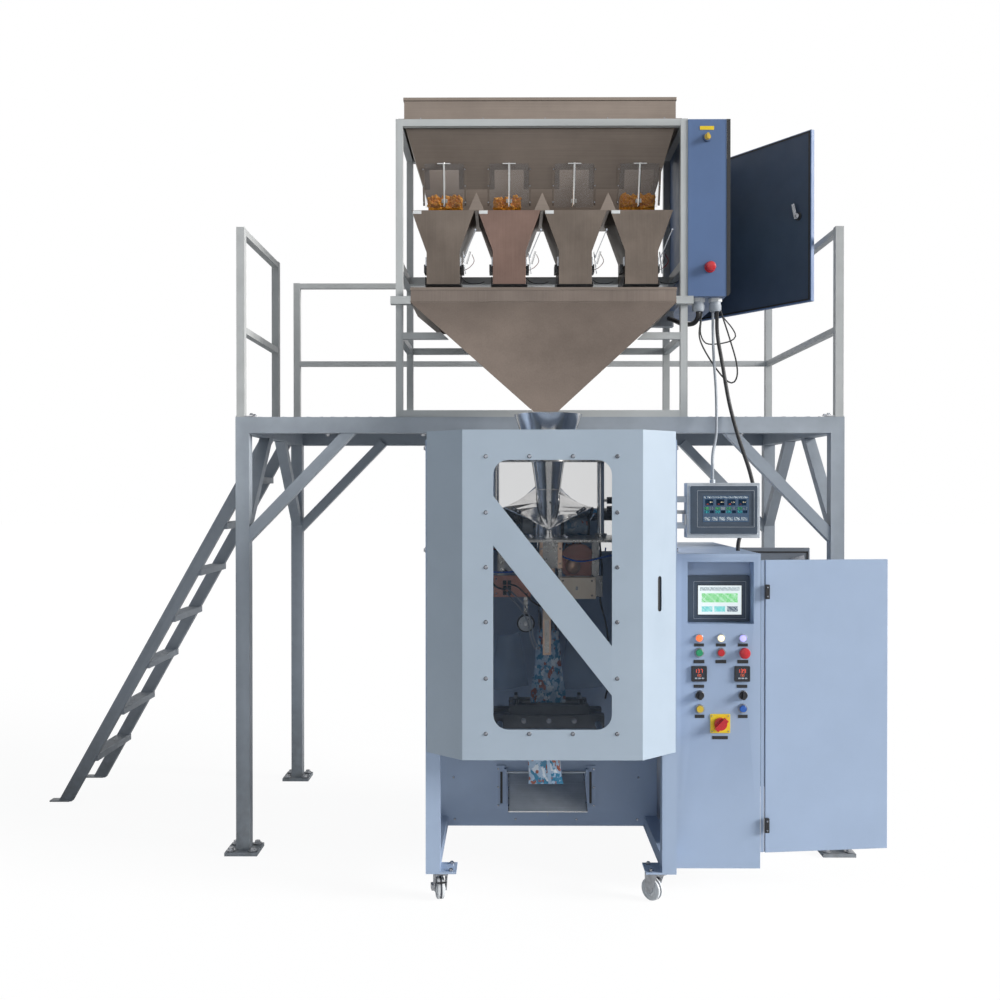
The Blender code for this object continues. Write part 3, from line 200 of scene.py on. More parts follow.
copper_tape = finish("copper_tape", (0.9, 0.42, 0.32), roughness=0.35, mottle=22, tone=0.12,
    bump=(300, 0.08))
acrylic = finish("acrylic", (0.03, 0.04, 0.055), roughness=0.06, spread=0.02, mottle=40, tone=0.05,
    bump=(30, 0.01), IOR=1.3, Alpha=0.2)
gate_acrylic = finish("gate_acrylic", (0.24, 0.25, 0.27), roughness=0.18, spread=0.05, mottle=14, tone=0.08,
    bump=(20, 0.01), IOR=1.35, Alpha=0.11)
black_plastic = finish("black_plastic", (0.018, 0.018, 0.02), roughness=0.42, mottle=80, tone=0.2,
    bump=(900, 0.12), wear=0.04)
black_rubber = finish("black_rubber", (0.014, 0.014, 0.015), roughness=0.62, mottle=90, tone=0.25,
    bump=(600, 0.2))
dark_slate = finish("dark_slate_plastic", (0.045, 0.065, 0.095), roughness=0.38, mottle=50, tone=0.1,
    bump=(1000, 0.1), wear=0.1)
grey_plastic = finish("grey_plastic", (0.36, 0.39, 0.43), roughness=0.45, mottle=60, tone=0.08,
    bump=(900, 0.1), wear=0.1)
pale_plastic = finish("pale_plastic", (0.68, 0.69, 0.69), roughness=0.42, mottle=70, tone=0.06,
    bump=(900, 0.1))
tyre_white = finish("tyre_white", (0.62, 0.64, 0.66), roughness=0.5, mottle=60, tone=0.12, bump=(400, 0.15))
tyre_dark = finish("tyre_dark", (0.06, 0.065, 0.08), roughness=0.5, mottle=60, tone=0.15, bump=(500, 0.15))
film_blue = finish("film_blue", (0.36, 0.5, 0.66), roughness=0.22, spread=0.1, mottle=16, tone=0.28,
    bump=(60, 0.25), Coat_Weight=0.3)
film_clear = finish("film_clear", (0.55, 0.66, 0.78), roughness=0.16, spread=0.08, mottle=12, tone=0.2,
    bump=(50, 0.4), Transmission_Weight=0.5, IOR=1.15, Alpha=0.55)
crisps = finish("orange_crisps", (1.0, 0.36, 0.02), roughness=0.6, mottle=60, tone=0.25, bump=(240, 0.6))
green_cap = finish("green_cap", (0.015, 0.28, 0.12), roughness=0.3, mottle=200, tone=0.12,
    bump=(900, 0.05), Coat_Weight=0.3)
red_cap = finish("red_cap", (0.5, 0.012, 0.02), roughness=0.32, mottle=180, tone=0.12, bump=(900, 0.06),
    Coat_Weight=0.3)
yellow_cap = finish("yellow_cap", (0.62, 0.42, 0.03), roughness=0.32, mottle=200, tone=0.12,
    bump=(900, 0.05), Coat_Weight=0.3)
blue_cap = finish("blue_cap", (0.015, 0.1, 0.42), roughness=0.32, mottle=200, tone=0.12, bump=(900, 0.05),
    Coat_Weight=0.3)
yellow_plate = finish("yellow_plate", (0.78, 0.56, 0.02), roughness=0.42, mottle=60, tone=0.06,
    bump=(900, 0.06))
blue_air_tube = finish("blue_air_tube", (0.01, 0.12, 0.62), roughness=0.25, mottle=60, tone=0.1,
    bump=(400, 0.05), Coat_Weight=0.3)
grey_cable = finish("grey_cable", (0.33, 0.36, 0.4), roughness=0.5, mottle=90, tone=0.08, bump=(600, 0.15))
black_cable = finish("black_cable", (0.016, 0.016, 0.018), roughness=0.5, mottle=90, tone=0.2,
    bump=(600, 0.18))
red_wire = finish("red_wire", (0.42, 0.03, 0.02), roughness=0.45, mottle=90, tone=0.1, bump=(600, 0.08))


def glowing(name, colour, strength, deep=0.35):
    """A lit lens or display: a coloured glow with uneven brightness over a glossy cap."""
    made = finish(name, [c * deep for c in colour], roughness=0.22, mottle=120, tone=0.12, bump=(500, 0.05),
        Coat_Weight=0.4)
    shader = made.node_tree.nodes["Principled BSDF"]
    shader.inputs["Emission Color"].default_value = (*colour, 1.0)
    shader.inputs["Emission Strength"].default_value = strength
    return made


lamp_orange = glowing("lamp_orange", (1.0, 0.16, 0.04), 1.3)
lamp_white = glowing("lamp_white", (1.0, 0.86, 0.55), 1.5)
lamp_violet = glowing("lamp_violet", (0.34, 0.32, 1.0), 1.7)
digit_red = glowing("digit_red", (1.0, 0.1, 0.04), 1.4)
screen_white = glowing("screen_white", (0.82, 0.9, 0.92), 0.8)
screen_green = glowing("screen_green", (0.16, 0.62, 0.2), 0.75)
screen_cyan = glowing("screen_cyan", (0.1, 0.62, 0.62), 0.7)
screen_blue = glowing("screen_blue", (0.03, 0.08, 0.16), 0.5)
screen_deep = glowing("screen_deep", (0.02, 0.03, 0.05), 0.3)
screen_grey = glowing("screen_grey", (0.45, 0.52, 0.56), 0.55)


# ---------------------------------------------------------------- shapes

def ring_stack(rings, capped=True):
    count = len(rings[0])
    points = [Vector(p) for ring in rings for p in ring]
    last = len(points) - count
    faces = [tuple(range(count))[::-1], tuple(range(last, last + count))] if capped else []
    for level in range(len(rings) - 1):
        for i in range(count):
            j = (i + 1) % count
            low, high = level * count, (level + 1) * count
            faces.append((low + i, low + j, high + j, high + i))
    return points, faces


def block(x0, x1, y0, y1, z0, z1):
    flat = ((x0, y0), (x1, y0), (x1, y1), (x0, y1))
    return ring_stack([[(x, y, z) for x, y in flat] for z in (z0, z1)])


def slab(middle, across, along, out, width, length, thick):
    across, along, out = (Vector(v).normalized() for v in (across, along, out))
    rings = [[Vector(middle) + across * (i * width) + along * (j * length) + out * (k * thick)
              for i, j in ((-0.5, -0.5), (0.5, -0.5), (0.5, 0.5), (-0.5, 0.5))] for k in (-0.5, 0.5)]
    return ring_stack(rings)


def lathe(profile, middle, axis, sides=32):
    """An open profile of (radius, distance) turned about the axis; a point on the axis closes an end."""
    middle, axis = Vector(middle), Vector(axis).normalized()
    across = axis.orthogonal().normalized()
    other = axis.cross(across)
    rings = [[middle + across * (r * math.cos(a)) + other * (r * math.sin(a)) + axis * h
              for a in (2 * math.pi * i / sides for i in range(sides))] for r, h in profile]
    return ring_stack(rings, capped=False)


def hoop(profile, middle, axis, sides=32):
    """A closed profile turned about the axis."""
    return lathe((*profile, profile[0]), middle, axis, sides)


def moved(shape, place):
    points, faces = shape
    return [place @ Vector(p) for p in points], faces


def swung(x, y, degrees):
    """The turn about an upright line that takes a door from shut to where it stands."""
    line = Vector((x, y, 0))
    turn = Matrix.Rotation(math.radians(degrees), 4, "Z")
    return Matrix.Translation(line) @ turn @ Matrix.Translation(-line)


def same(look, *shapes, place=None):
    """Shapes in one finish, moved with the door they sit on."""
    return [(look, moved(shape, place) if place else shape) for shape in shapes]


def rod(start, end, radius, sides=24):
    start, end = Vector(start), Vector(end)
    reach = (end - start).length
    return lathe(((0, 0), (radius, 0), (radius, reach), (0, reach)), start, end - start, sides)


def layer(outline, axis, c):
    """The outline at a distance c along the axis."""
    if axis == "y":
        return [(a, c, b) for a, b in outline]
    return [(a, b, c) for a, b in outline]


def rod_x(ends, y, z, radius, sides=24):
    return rod((ends[0], y, z), (ends[1], y, z), radius, sides)


def rod_y(x, ends, z, radius, sides=24):
    return rod((x, ends[0], z), (x, ends[1], z), radius, sides)


def rod_z(x, y, ends, radius, sides=24):
    return rod((x, y, ends[0]), (x, y, ends[1]), radius, sides)


def prism(outline, axis, low, high):
    return ring_stack([layer(outline, axis, c) for c in (low, high)])


def rounded(x0, x1, z0, z1, radius, steps=5):
    """The outline of a rectangle with round corners."""
    outline = []
    for x, z, start in ((x1 - radius, z0 + radius, -90), (x1 - radius, z1 - radius, 0),
        (x0 + radius, z1 - radius, 90), (x0 + radius, z0 + radius, 180)):
        for i in range(steps + 1):
            angle = math.radians(start + 90 * i / steps)
            outline.append((x + radius * math.cos(angle), z + radius * math.sin(angle)))
    return outline


def frame_ring(outer, inner, axis, low, high):
    """A frame between two outlines that match point for point."""
    return ring_stack([layer(outline, axis, c) for outline, c in ((outer, low), (outer, high), (inner, high),
        (inner, low), (outer, low))], capped=False)


def smooth_path(route, spacing):
    """Points along a smooth curve through the route, this far apart."""
    route = [Vector(p) for p in route]
    padded = [2 * route[0] - route[1]] + route + [2 * route[-1] - route[-2]]
    fine = []
    for a, b, c, d in zip(padded, padded[1:], padded[2:], padded[3:]):
        for i in range(24):
            t = i / 24
            fine.append(0.5 * (2 * b + (c - a) * t + (2 * a - 5 * b + 4 * c - d) * t * t
                + (3 * b - a - 3 * c + d) * t ** 3))
    fine.append(route[-1])
    length = sum((q - p).length for p, q in zip(fine, fine[1:]))
    count = max(2, round(length / spacing))
    made, run, target = [fine[0]], 0.0, length / count
    for p, q in zip(fine, fine[1:]):
        piece = (q - p).length
        while run + piece >= target and len(made) < count:
            made.append(p.lerp(q, (target - run) / piece))
            target += length / count
        run += piece
    return made + [fine[-1]]


def wire(route, radius, spacing=0.006, sides=8):
    """A thin wire or tube swept along a smooth route."""
    path = smooth_path(route, spacing)
    rings, across = [], None
    for i, here in enumerate(path):
        along = (path[min(i + 1, len(path) - 1)] - path[max(i - 1, 0)]).normalized()
        across = along.orthogonal() if across is None else across - along * across.dot(along)
        across.normalize()
        other = along.cross(across)
        rings.append([here + across * (radius * math.cos(a)) + other * (radius * math.sin(a))
            for a in (2 * math.pi * k / sides for k in range(sides))])
    return ring_stack(rings)


def curved_sheet(place, across, along, thick=0.0004):
    """A thin sheet whose middle surface is place(u, v)."""
    grid = [[Vector(place(i / across, j / along)) for i in range(across + 1)] for j in range(along + 1)]
    points, faces = [], []
    wide = across + 1
    for side in (0.5, -0.5):
        for j in range(along + 1):
            for i in range(wide):
                du = grid[j][min(i + 1, across)] - grid[j][max(i - 1, 0)]
                dv = grid[min(j + 1, along)][i] - grid[max(j - 1, 0)][i]
                points.append(grid[j][i] + du.cross(dv).normalized() * (side * thick))
    back = wide * (along + 1)
    for j in range(along):
        for i in range(across):
            a = j * wide + i
            faces.append((a, a + 1, a + wide + 1, a + wide))
            faces.append((back + a + wide, back + a + wide + 1, back + a + 1, back + a))
    for i in range(across):
        last = along * wide + i
        faces.append((i + 1, i, back + i, back + i + 1))
        faces.append((last, last + 1, back + last + 1, back + last))
    for j in range(along):
        a, b = j * wide, j * wide + across
        faces.append((a, a + wide, back + a + wide, back + a))
        faces.append((b + wide, b, back + b, back + b + wide))
    return points, faces


def mesh_piece(name, body, parts, bevel=0.0, angle=34.0, stands_for=()):
    """One finished piece from (finish, shape) pairs, riding on a body."""
    mesh = bpy.data.meshes.new(name)
    work = bmesh.new()
    looks = []
    for look, (points, faces) in parts:
        if look not in looks:
            looks.append(look)
        corners = [work.verts.new(p + ORIGIN) for p in map(Vector, points)]
        for face in faces:
            made_face = work.faces.new([corners[i] for i in face])
            made_face.material_index = looks.index(look)
    bmesh.ops.remove_doubles(work, verts=work.verts, dist=1e-7)
    bmesh.ops.recalc_face_normals(work, faces=work.faces)
    for face in work.faces:
        face.smooth = True
    for edge in work.edges:
        edge.smooth = len(edge.link_faces) == 2 and edge.calc_face_angle(0) < math.radians(angle)
    work.to_mesh(mesh)
    work.free()
    for look in looks:
        mesh.materials.append(look)
    made = placed(name, mesh)
    if bevel:
        round_off(made, bevel)
    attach(made, body)
    if stands_for:
        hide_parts(*stands_for)
    return made


def round_off(piece, width, segments=2):
    step = piece.modifiers.new("rounded_edges", "BEVEL")
    step.width = width
    step.segments = segments
    step.limit_method = "ANGLE"
    step.angle_limit = math.radians(34)
    step.harden_normals = True
    step.use_clamp_overlap = True


# ---------------------------------------------------------------- node trees

def new_tree(name, inputs):
    tree = bpy.data.node_groups.new(name, "GeometryNodeTree")
    tree.interface.new_socket("Geometry", in_out="OUTPUT", socket_type="NodeSocketGeometry")
    tree.interface.new_socket("Geometry", in_out="INPUT", socket_type="NodeSocketGeometry")
    for label, kind in inputs:
        tree.interface.new_socket(label, in_out="INPUT", socket_type=kind)
    enter = tree.nodes.new("NodeGroupInput")
    leave = tree.nodes.new("NodeGroupOutput")
    return tree, enter, leave


def set_step(step, tree, values):
    step.node_group = tree
    known = {item.name: item.identifier for item in tree.interface.items_tree
             if item.item_type == "SOCKET" and item.in_out == "INPUT"}
    for label, value in values.items():
        step[known[label]] = value


def grown(name, tree, points, values, body):
    """Runs a tree on a cloud of points that carry a facing, and keeps the result as a plain piece."""
    mesh = bpy.data.meshes.new(name)
    mesh.from_pydata([Vector(p) + ORIGIN for p, _ in points], [], [])
    facing = mesh.attributes.new("facing", "FLOAT_VECTOR", "POINT")
    for item, (_, out) in zip(facing.data, points):
        item.vector = Vector(out).normalized()
    seed = placed(name + "_seed", mesh)
    step = seed.modifiers.new("grow", "NODES")
    set_step(step, tree, values)
    graph = bpy.context.evaluated_depsgraph_get()
    result = bpy.data.meshes.new_from_object(seed.evaluated_get(graph))
    bpy.data.objects.remove(seed, do_unlink=True)
    result.name = name
    made = placed(name, result)
    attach(made, body)
    return made


def spread_tree(name, inputs, shape, axis="Z"):
    """A tree that puts one shape on each point, its axis turned to the point's facing, in a given finish."""
    tree, enter, leave = new_tree(name, inputs + (("Finish", "NodeSocketMaterial"),))
    spots = put(tree, "GeometryNodeMeshToPoints", {"Mesh": enter.outputs["Geometry"]})
    values = {"Points": spots.outputs[0], **shape(tree, enter.outputs)}
    if axis:
        facing = put(tree, "GeometryNodeInputNamedAttribute", {"Name": "facing"}, data_type="FLOAT_VECTOR")
        turn = put(tree, "FunctionNodeAlignRotationToVector", {"Vector": facing.outputs["Attribute"]},
            axis=axis)
        values["Rotation"] = turn.outputs[0]
    copies = put(tree, "GeometryNodeInstanceOnPoints", values)
    real = put(tree, "GeometryNodeRealizeInstances", {"Geometry": copies.outputs[0]})
    dress = put(tree, "GeometryNodeSetMaterial", {"Geometry": real.outputs[0],
        "Material": enter.outputs["Finish"]})
    tree.links.new(dress.outputs[0], leave.inputs[0])
    return tree


def screw_head(tree, given):
    """A round screw head with a socket."""
    radius, height = given["Radius"], given["Height"]
    head = put(tree, "GeometryNodeMeshCone", {"Vertices": 14, "Radius Top": times(tree, radius, 0.72),
        "Radius Bottom": radius, "Depth": height})
    inset = put(tree, "GeometryNodeExtrudeMesh", {"Mesh": head.outputs["Mesh"],
        "Selection": head.outputs["Top"], "Offset Scale": 0.0}, mode="FACES")
    small = put(tree, "GeometryNodeScaleElements", {"Geometry": inset.outputs["Mesh"],
        "Selection": inset.outputs["Top"], "Scale": 0.55})
    socket = put(tree, "GeometryNodeExtrudeMesh", {"Mesh": small.outputs["Geometry"],
        "Selection": inset.outputs["Top"], "Offset Scale": times(tree, height, -0.6)}, mode="FACES")
    return {"Instance": socket.outputs["Mesh"]}


def hexagon_head(tree, given):
    """A hexagon bolt head on a washer."""
    radius, height = given["Radius"], given["Height"]
    washer = put(tree, "GeometryNodeMeshCylinder", {"Vertices": 18, "Radius": times(tree, radius, 1.45),
        "Depth": times(tree, height, 0.25)})
    head = put(tree, "GeometryNodeMeshCone", {"Vertices": 6, "Radius Top": times(tree, radius, 0.9),
        "Radius Bottom": radius, "Depth": height})
    both = put(tree, "GeometryNodeJoinGeometry")
    tree.links.new(washer.outputs["Mesh"], both.inputs[0])
    tree.links.new(head.outputs["Mesh"], both.inputs[0])
    return {"Instance": both.outputs[0]}


def straight_rib(tree, given):
    """A plain bar, for teeth, treads and serrations."""
    return {"Instance": put(tree, "GeometryNodeMeshCube", {"Size": given["Size"]}).outputs["Mesh"]}


def lozenge(tree, given):
    """A raised lozenge of chequer plate."""
    length = given["Length"]
    bump = put(tree, "GeometryNodeMeshCone", {"Vertices": 6, "Radius Top": 0.35, "Radius Bottom": 0.5,
        "Depth": 1.0})
    size = put(tree, "ShaderNodeCombineXYZ", {"X": length, "Y": times(tree, length, 0.3),
        "Z": given["Height"]})
    return {"Instance": bump.outputs["Mesh"], "Scale": size.outputs[0]}


def coil(tree, given):
    """A coil spring."""
    helix = put(tree, "GeometryNodeCurveSpiral", {"Resolution": 14, "Rotations": given["Turns"],
        "Start Radius": given["Radius"], "End Radius": given["Radius"], "Height": given["Length"]})
    section = put(tree, "GeometryNodeCurvePrimitiveCircle", {"Resolution": 6, "Radius": given["Wire"]})
    spring = put(tree, "GeometryNodeCurveToMesh", {"Curve": helix.outputs[0],
        "Profile Curve": section.outputs[0], "Fill Caps": True})
    return {"Instance": spring.outputs["Mesh"]}


def soften_tree():
    """Smooth faces with the corners kept crisp."""
    tree, enter, leave = new_tree("soft_faces", (("Smooth angle", "NodeSocketFloat"),))
    merged = put(tree, "GeometryNodeMergeByDistance", {"Geometry": enter.outputs["Geometry"],
        "Distance": 0.00001})
    smooth = put(tree, "GeometryNodeSetShadeSmooth", {"Geometry": merged.outputs[0], "Shade Smooth": True},
        domain="FACE")
    fold = put(tree, "GeometryNodeInputMeshEdgeAngle")
    gentle = put(tree, "FunctionNodeCompare", {0: fold.outputs["Unsigned Angle"],
        1: enter.outputs["Smooth angle"]}, operation="LESS_THAN")
    crisp = put(tree, "GeometryNodeSetShadeSmooth", {"Geometry": smooth.outputs[0],
        "Shade Smooth": gentle.outputs["Result"]}, domain="EDGE")
    tree.links.new(crisp.outputs[0], leave.inputs[0])
    return tree


def floats(*labels):
    return tuple((label, "NodeSocketFloat") for label in labels)


SCREWS = spread_tree("socket_screws", floats("Radius", "Height"), screw_head)
BOLTS = spread_tree("hexagon_bolts", floats("Radius", "Height"), hexagon_head)
RIBS = spread_tree("straight_ribs", (("Size", "NodeSocketVector"),), straight_rib, axis=None)
LOZENGES = spread_tree("chequer_lozenges", floats("Length", "Height"), lozenge, axis="X")
SPRINGS = spread_tree("coil_springs", floats("Radius", "Length", "Turns", "Wire"), coil)
SOFT = soften_tree()


def faced(spots, out):
    """Spots that all face one way; with no way given, each spot brings its own."""
    return [(spot, out) for spot in spots] if out else spots


def screws(name, spots, radius, height, body="base", look=screw_steel, out=FACING_FRONT):
    grown(name, SCREWS, faced(spots, out), {"Radius": radius, "Height": height, "Finish": look}, body)


def bolts(name, spots, radius, height, body="base", look=screw_steel, out=UP):
    grown(name, BOLTS, faced(spots, out), {"Radius": radius, "Height": height, "Finish": look}, body)


def ribs(name, spots, size, look, body="base"):
    grown(name, RIBS, faced(spots, UP), {"Size": size, "Finish": look}, body)


def dress_node(name, look, bevel=0.0):
    """A machine part whose own shape is right: rounded edges and its finish."""
    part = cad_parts[name]
    weld = part.modifiers.new("weld", "WELD")
    weld.merge_threshold = 0.00001
    flat = part.modifiers.new("flat_faces", "DECIMATE")
    flat.decimate_type = "DISSOLVE"
    flat.angle_limit = math.radians(0.4)
    step = part.modifiers.new("soft_faces", "NODES")
    set_step(step, SOFT, {"Smooth angle": math.radians(33)})
    if bevel:
        round_off(part, bevel)
    for slot in part.material_slots:
        slot.material = look
    return part


# ---------------------------------------------------------------- free cables

def free_cable(name, node, route, diameter, look):
    """A hanging cable that leaves the weigher cabinet and goes into its housing below."""
    path = smooth_path(route, 0.016)
    curve = bpy.data.curves.new(name, "CURVE")
    curve.dimensions = "3D"
    curve.bevel_depth = diameter / 2
    curve.bevel_resolution = 3
    curve.use_fill_caps = True
    line = curve.splines.new("POLY")
    line.points.add(len(path) - 1)
    for spot, place in zip(line.points, path):
        spot.co = (*(place + ORIGIN), 1.0)
    curve.materials.append(look)
    made = placed(name, curve)
    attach(made, "base")
    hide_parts(node)


free_cable("pendant_cable_run", "pendant_cable", ((0.6255, 0.68, 2.0057), (0.6255, 0.68, 1.97),
    (0.6255, 0.68, 1.935), (0.624, 0.655, 1.83), (0.622, 0.6, 1.7), (0.612, 0.54, 1.56),
    (0.575, 0.38, 1.5), (0.54, 0.22, 1.475), (0.53, 0.185, 1.445), (0.53, 0.185, 1.41),
    (0.53, 0.185, 1.3753)), 0.01, grey_cable)
free_cable("black_conduit_run", "black_conduit",
           ((0.6405, 0.68, 2.0057), (0.6405, 0.68, 1.97), (0.6407, 0.679, 1.938), (0.644, 0.668, 1.888),
            (0.652, 0.641, 1.812), (0.672, 0.61, 1.661), (0.7, 0.58, 1.531), (0.73, 0.53, 1.405),
            (0.736, 0.486, 1.318), (0.715, 0.455, 1.258), (0.684, 0.432, 1.206), (0.666, 0.421, 1.16),
            (0.664, 0.42, 1.1293)), 0.014, black_cable)


def signal_cord(name, route, diameter, look):
    """A thin cord that hangs in a loop between two glands."""
    path = smooth_path(route, 0.012)
    made = mesh_piece(name, "base", [(look, wire(route, diameter / 2, 0.012, 10))])


signal_cord("signal_cord_outer", ((0.652, 0.668, 2.006), (0.66, 0.666, 1.98), (0.684, 0.664, 1.905),
    (0.708, 0.662, 1.82), (0.712, 0.662, 1.765), (0.694, 0.662, 1.738), (0.66, 0.664, 1.76),
    (0.61, 0.668, 1.83), (0.575, 0.672, 1.905), (0.58, 0.676, 1.975), (0.585, 0.68, 2.006)), 0.006,
    black_cable)
signal_cord("signal_cord_inner", ((0.655, 0.694, 2.006), (0.668, 0.694, 1.985), (0.7, 0.692, 1.945),
    (0.712, 0.69, 1.915), (0.69, 0.69, 1.896), (0.64, 0.69, 1.886), (0.6, 0.69, 1.89),
    (0.582, 0.692, 1.925), (0.584, 0.694, 1.97), (0.586, 0.694, 2.006)), 0.005, black_cable)


# ---------------------------------------------------------------- finishes on the machine's own parts

blackened_steel = finish("blackened_steel", (0.075, 0.078, 0.085), metallic=0.9, roughness=0.4, mottle=25,
    tone=0.2, bump=(500, 0.1), wear=0.2)
NODE_LOOKS = (("platform_frame", platform_paint, 0.003), ("guard_rail_left", rail_paint, 0.002),
    ("guard_rail_back_and_right", rail_paint, 0.002), ("access_ladder", shaded_ladder_paint, 0.002),
    ("weigher_frame", weigher_paint, 0.002), ("top_bin", brushed_x, 0.001),
    ("feeder_bank", brushed_x, 0.0008), ("collecting_hopper", brushed_z, 0.001),
    ("weigher_cabinet", slate_paint, 0.0015), ("weigher_cabinet_door", slate_paint, 0.002),
    ("weigher_isolator", yellow_cap, 0.0008), ("weigher_stop", red_cap, 0.0),
    ("machine_frame", cabinet_paint, 0.0), ("front_cover", cover_paint, 0.0008),
    ("cover_window", acrylic, 0.0008), ("forming_tube", chrome, 0.0), ("forming_collar", chrome, 0.0),
    ("collar_table", ground_steel, 0.0012), ("vertical_seal_bar", bronze, 0.001),
    ("pull_pulley_left", tyre_white, 0.0), ("pull_pulley_right", tyre_white, 0.0),
    ("front_jaw", blackened_steel, 0.001), ("rear_jaw", blackened_steel, 0.001),
    ("film_roll", film_blue, 0.0), ("upper_roller", black_rubber, 0.0),
    ("discharge_chute", tray_steel, 0.0006), ("control_cabinet", cabinet_paint, 0.0),
    ("cabinet_front_door", cabinet_paint, 0.002), ("cabinet_rear_door", leaf_paint, 0.002),
    ("pendant_screen", tray_steel, 0.003), ("start_button", green_cap, 0.0012),
    ("stop_button", red_cap, 0.0012), ("jog_button", yellow_cap, 0.0012),
    ("reset_button", blue_cap, 0.0012), ("selector_left", black_plastic, 0.0008),
    ("selector_right", black_plastic, 0.0008), ("emergency_stop", red_cap, 0.0),
    ("main_switch", red_cap, 0.0012),)
for label, look, edge in NODE_LOOKS:
    dress_node(label, look, edge)
for lane in range(1, 5):
    # Hopper 2 takes a rose copy of the same steel, darkened like the rest as painted reflection.
    dress_node(f"weigh_hopper_{lane}", rose_steel if lane == 2 else hopper_steel, 0.0008)
    dress_node(f"hopper_flap_{lane}", black_plastic, 0.0008)
CASTER_TURNS = {"front_left": 101, "front_right": 133, "rear_left": 90, "rear_right": 60}
for corner in CASTER_TURNS:
    dress_node(f"caster_fork_{corner}", zinc_plate, 0.0006)
    dress_node(f"caster_wheel_{corner}", tyre_white, 0.0)


def middle_of(node):
    low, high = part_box(node)
    return (low + high) / 2 - ORIGIN


def printed(name, ground, marks, scale):
    """Glossy film with soft blotches of plain colours and no picture."""
    made = finish(name, ground, roughness=0.26, mottle=30, tone=0.1, bump=(70, 0.4), Coat_Weight=0.35)
    tree = made.node_tree
    paint = tree.nodes["Principled BSDF"].inputs["Base Color"]
    source = paint.links[0].from_socket
    place = put(tree, "ShaderNodeTexCoord").outputs["Object"]
    for number, (colour, level) in enumerate(marks):
        shift = (3.7 * number + 0.4, 1.9 * number, 2.3 * number)
        turn = put(tree, "ShaderNodeMapping", {"Vector": place, "Location": shift,
            "Scale": (scale, scale, scale * 0.7)})
        spots = noise(tree, turn.outputs["Vector"], 1.0, 2.5)
        source = mixed(tree, remap(tree, spots, level, level + 0.02), source, (*colour, 1.0), "MIX")
    tree.links.new(source, paint)
    return made


web_print = printed("web_print", (0.34, 0.46, 0.6), (((0.03, 0.19, 0.38), 0.52),
    ((0.4, 0.13, 0.07), 0.6), ((0.66, 0.74, 0.82), 0.57)), 34)
pouch_print = printed("pouch_print", (0.36, 0.5, 0.66),
    (((0.02, 0.2, 0.36), 0.51), ((0.3, 0.08, 0.05), 0.575), ((0.7, 0.77, 0.84), 0.57)), 48)


# ---------------------------------------------------------------- front cover

SCREW_ROWS = [(x, 0.0, z) for z in (1.444, 0.583) for x in (-0.207, -0.072, 0.063, 0.2006)]
SCREW_ROWS += [(x, 0.0, z) for z in (1.27, 1.1, 0.93, 0.755) for x in (-0.207, 0.2006)]
screws("cover_screws", SCREW_ROWS, 0.0056, 0.003, "front_cover")
# The dark rings under the cover screws are painted shade, standing for the shaded gap round each screw head.
screws("cover_screw_shade_rings", SCREW_ROWS, 0.0068, 0.0012, "front_cover", look=blackened_steel)
grip_out = Vector((0.1055, -0.118, 0)).normalized()
grip_middle = Vector((0.3395, 0.0535, 1.013)) - grip_out * 0.014
mesh_piece("grip_cup", "front_cover", [(black_plastic,
    slab(grip_middle, (grip_out.y, -grip_out.x, 0), UP, grip_out, 0.026, 0.122, 0.018))],
    bevel=0.004)
mesh_piece("cover_hinges", "base", same(screw_steel, *[
    rod_z(-0.394, 0.112, (z - 0.03, z + 0.03), 0.005, 16) for z in (0.64, 1.02, 1.4)]),
    bevel=0.0006)

# ---------------------------------------------------------------- forming set

# The small black disc is painted shade, standing for the dark of the hole in the tube's front; the steel ring
# above is real.
mesh_piece("tube_sight_hole", "base", [(black_plastic,
    rod_y(0.006, (0.3195, 0.3235), 1.298, 0.0036, 14)),
    (ground_steel, hoop(((0.0412, -0.0014), (0.0428, 0.0), (0.0412, 0.0014)),
        (0, TUBE_Y, 1.342), UP, 40))])
DANCER_Y, DANCER_Z = 0.462, 1.2135
mesh_piece("film_dancer_rolls", "base", [(web_print, rod_x((0.058, 0.142), DANCER_Y, DANCER_Z, 0.03, 36)),
    (pale_plastic, rod_x((-0.088, -0.05), DANCER_Y, DANCER_Z, 0.026, 36)),
    *same(black_rubber, rod_x((-0.094, -0.087), DANCER_Y, DANCER_Z, 0.032, 36),
        rod_x((0.048, 0.059), DANCER_Y, DANCER_Z, 0.032, 36),
        rod_x((0.141, 0.15), DANCER_Y, DANCER_Z, 0.032, 36))], bevel=0.001)
mesh_piece("film_side_rollers", "base", [(black_rubber,
    rod_x((0.212, 0.338), 0.47, z, 0.012, 24)) for z in (1.272, 1.304)]
    + [(ground_steel, rod_x((0.2, 0.35), 0.47, z, 0.005, 16)) for z in (1.272, 1.304)],
    bevel=0.0008)
clamp_parts, clamp_screws = [], []
for side in SIDES:
    along = Vector((side * 0.8, 0.25, 0.45)).normalized()
    out = Vector((side * 0.3, -0.8, 0.42)).normalized()
    middle = Vector((side * 0.109, 0.302, 1.2705))
    across = along.cross(out)
    clamp_parts += [(blackened_steel, slab(middle, along, across, out, 0.034, 0.012, 0.007)),
        (black_plastic, slab(middle + out * 0.003, along, across, out, 0.026, 0.004, 0.003))]
    clamp_screws += [(middle + along * (k * 0.008) + out * 0.0046, out) for k in SIDES]
mesh_piece("collar_clamps", "base", clamp_parts, bevel=0.0008)
screws("collar_clamp_screws", clamp_screws, 0.0032, 0.002, out=None)
collar_bolts = [(side * 0.18, TUBE_Y, 1.4475) for side in SIDES]
collar_bolts += [(x, y, 1.1795) for x in (-0.33, -0.21, 0.21, 0.33) for y in (0.19, 0.52)]
collar_bolts += [(side * 0.06, y, 1.1795) for side in SIDES for y in (0.3, 0.42)]
bolts("table_bolts", collar_bolts, 0.0065, 0.006)
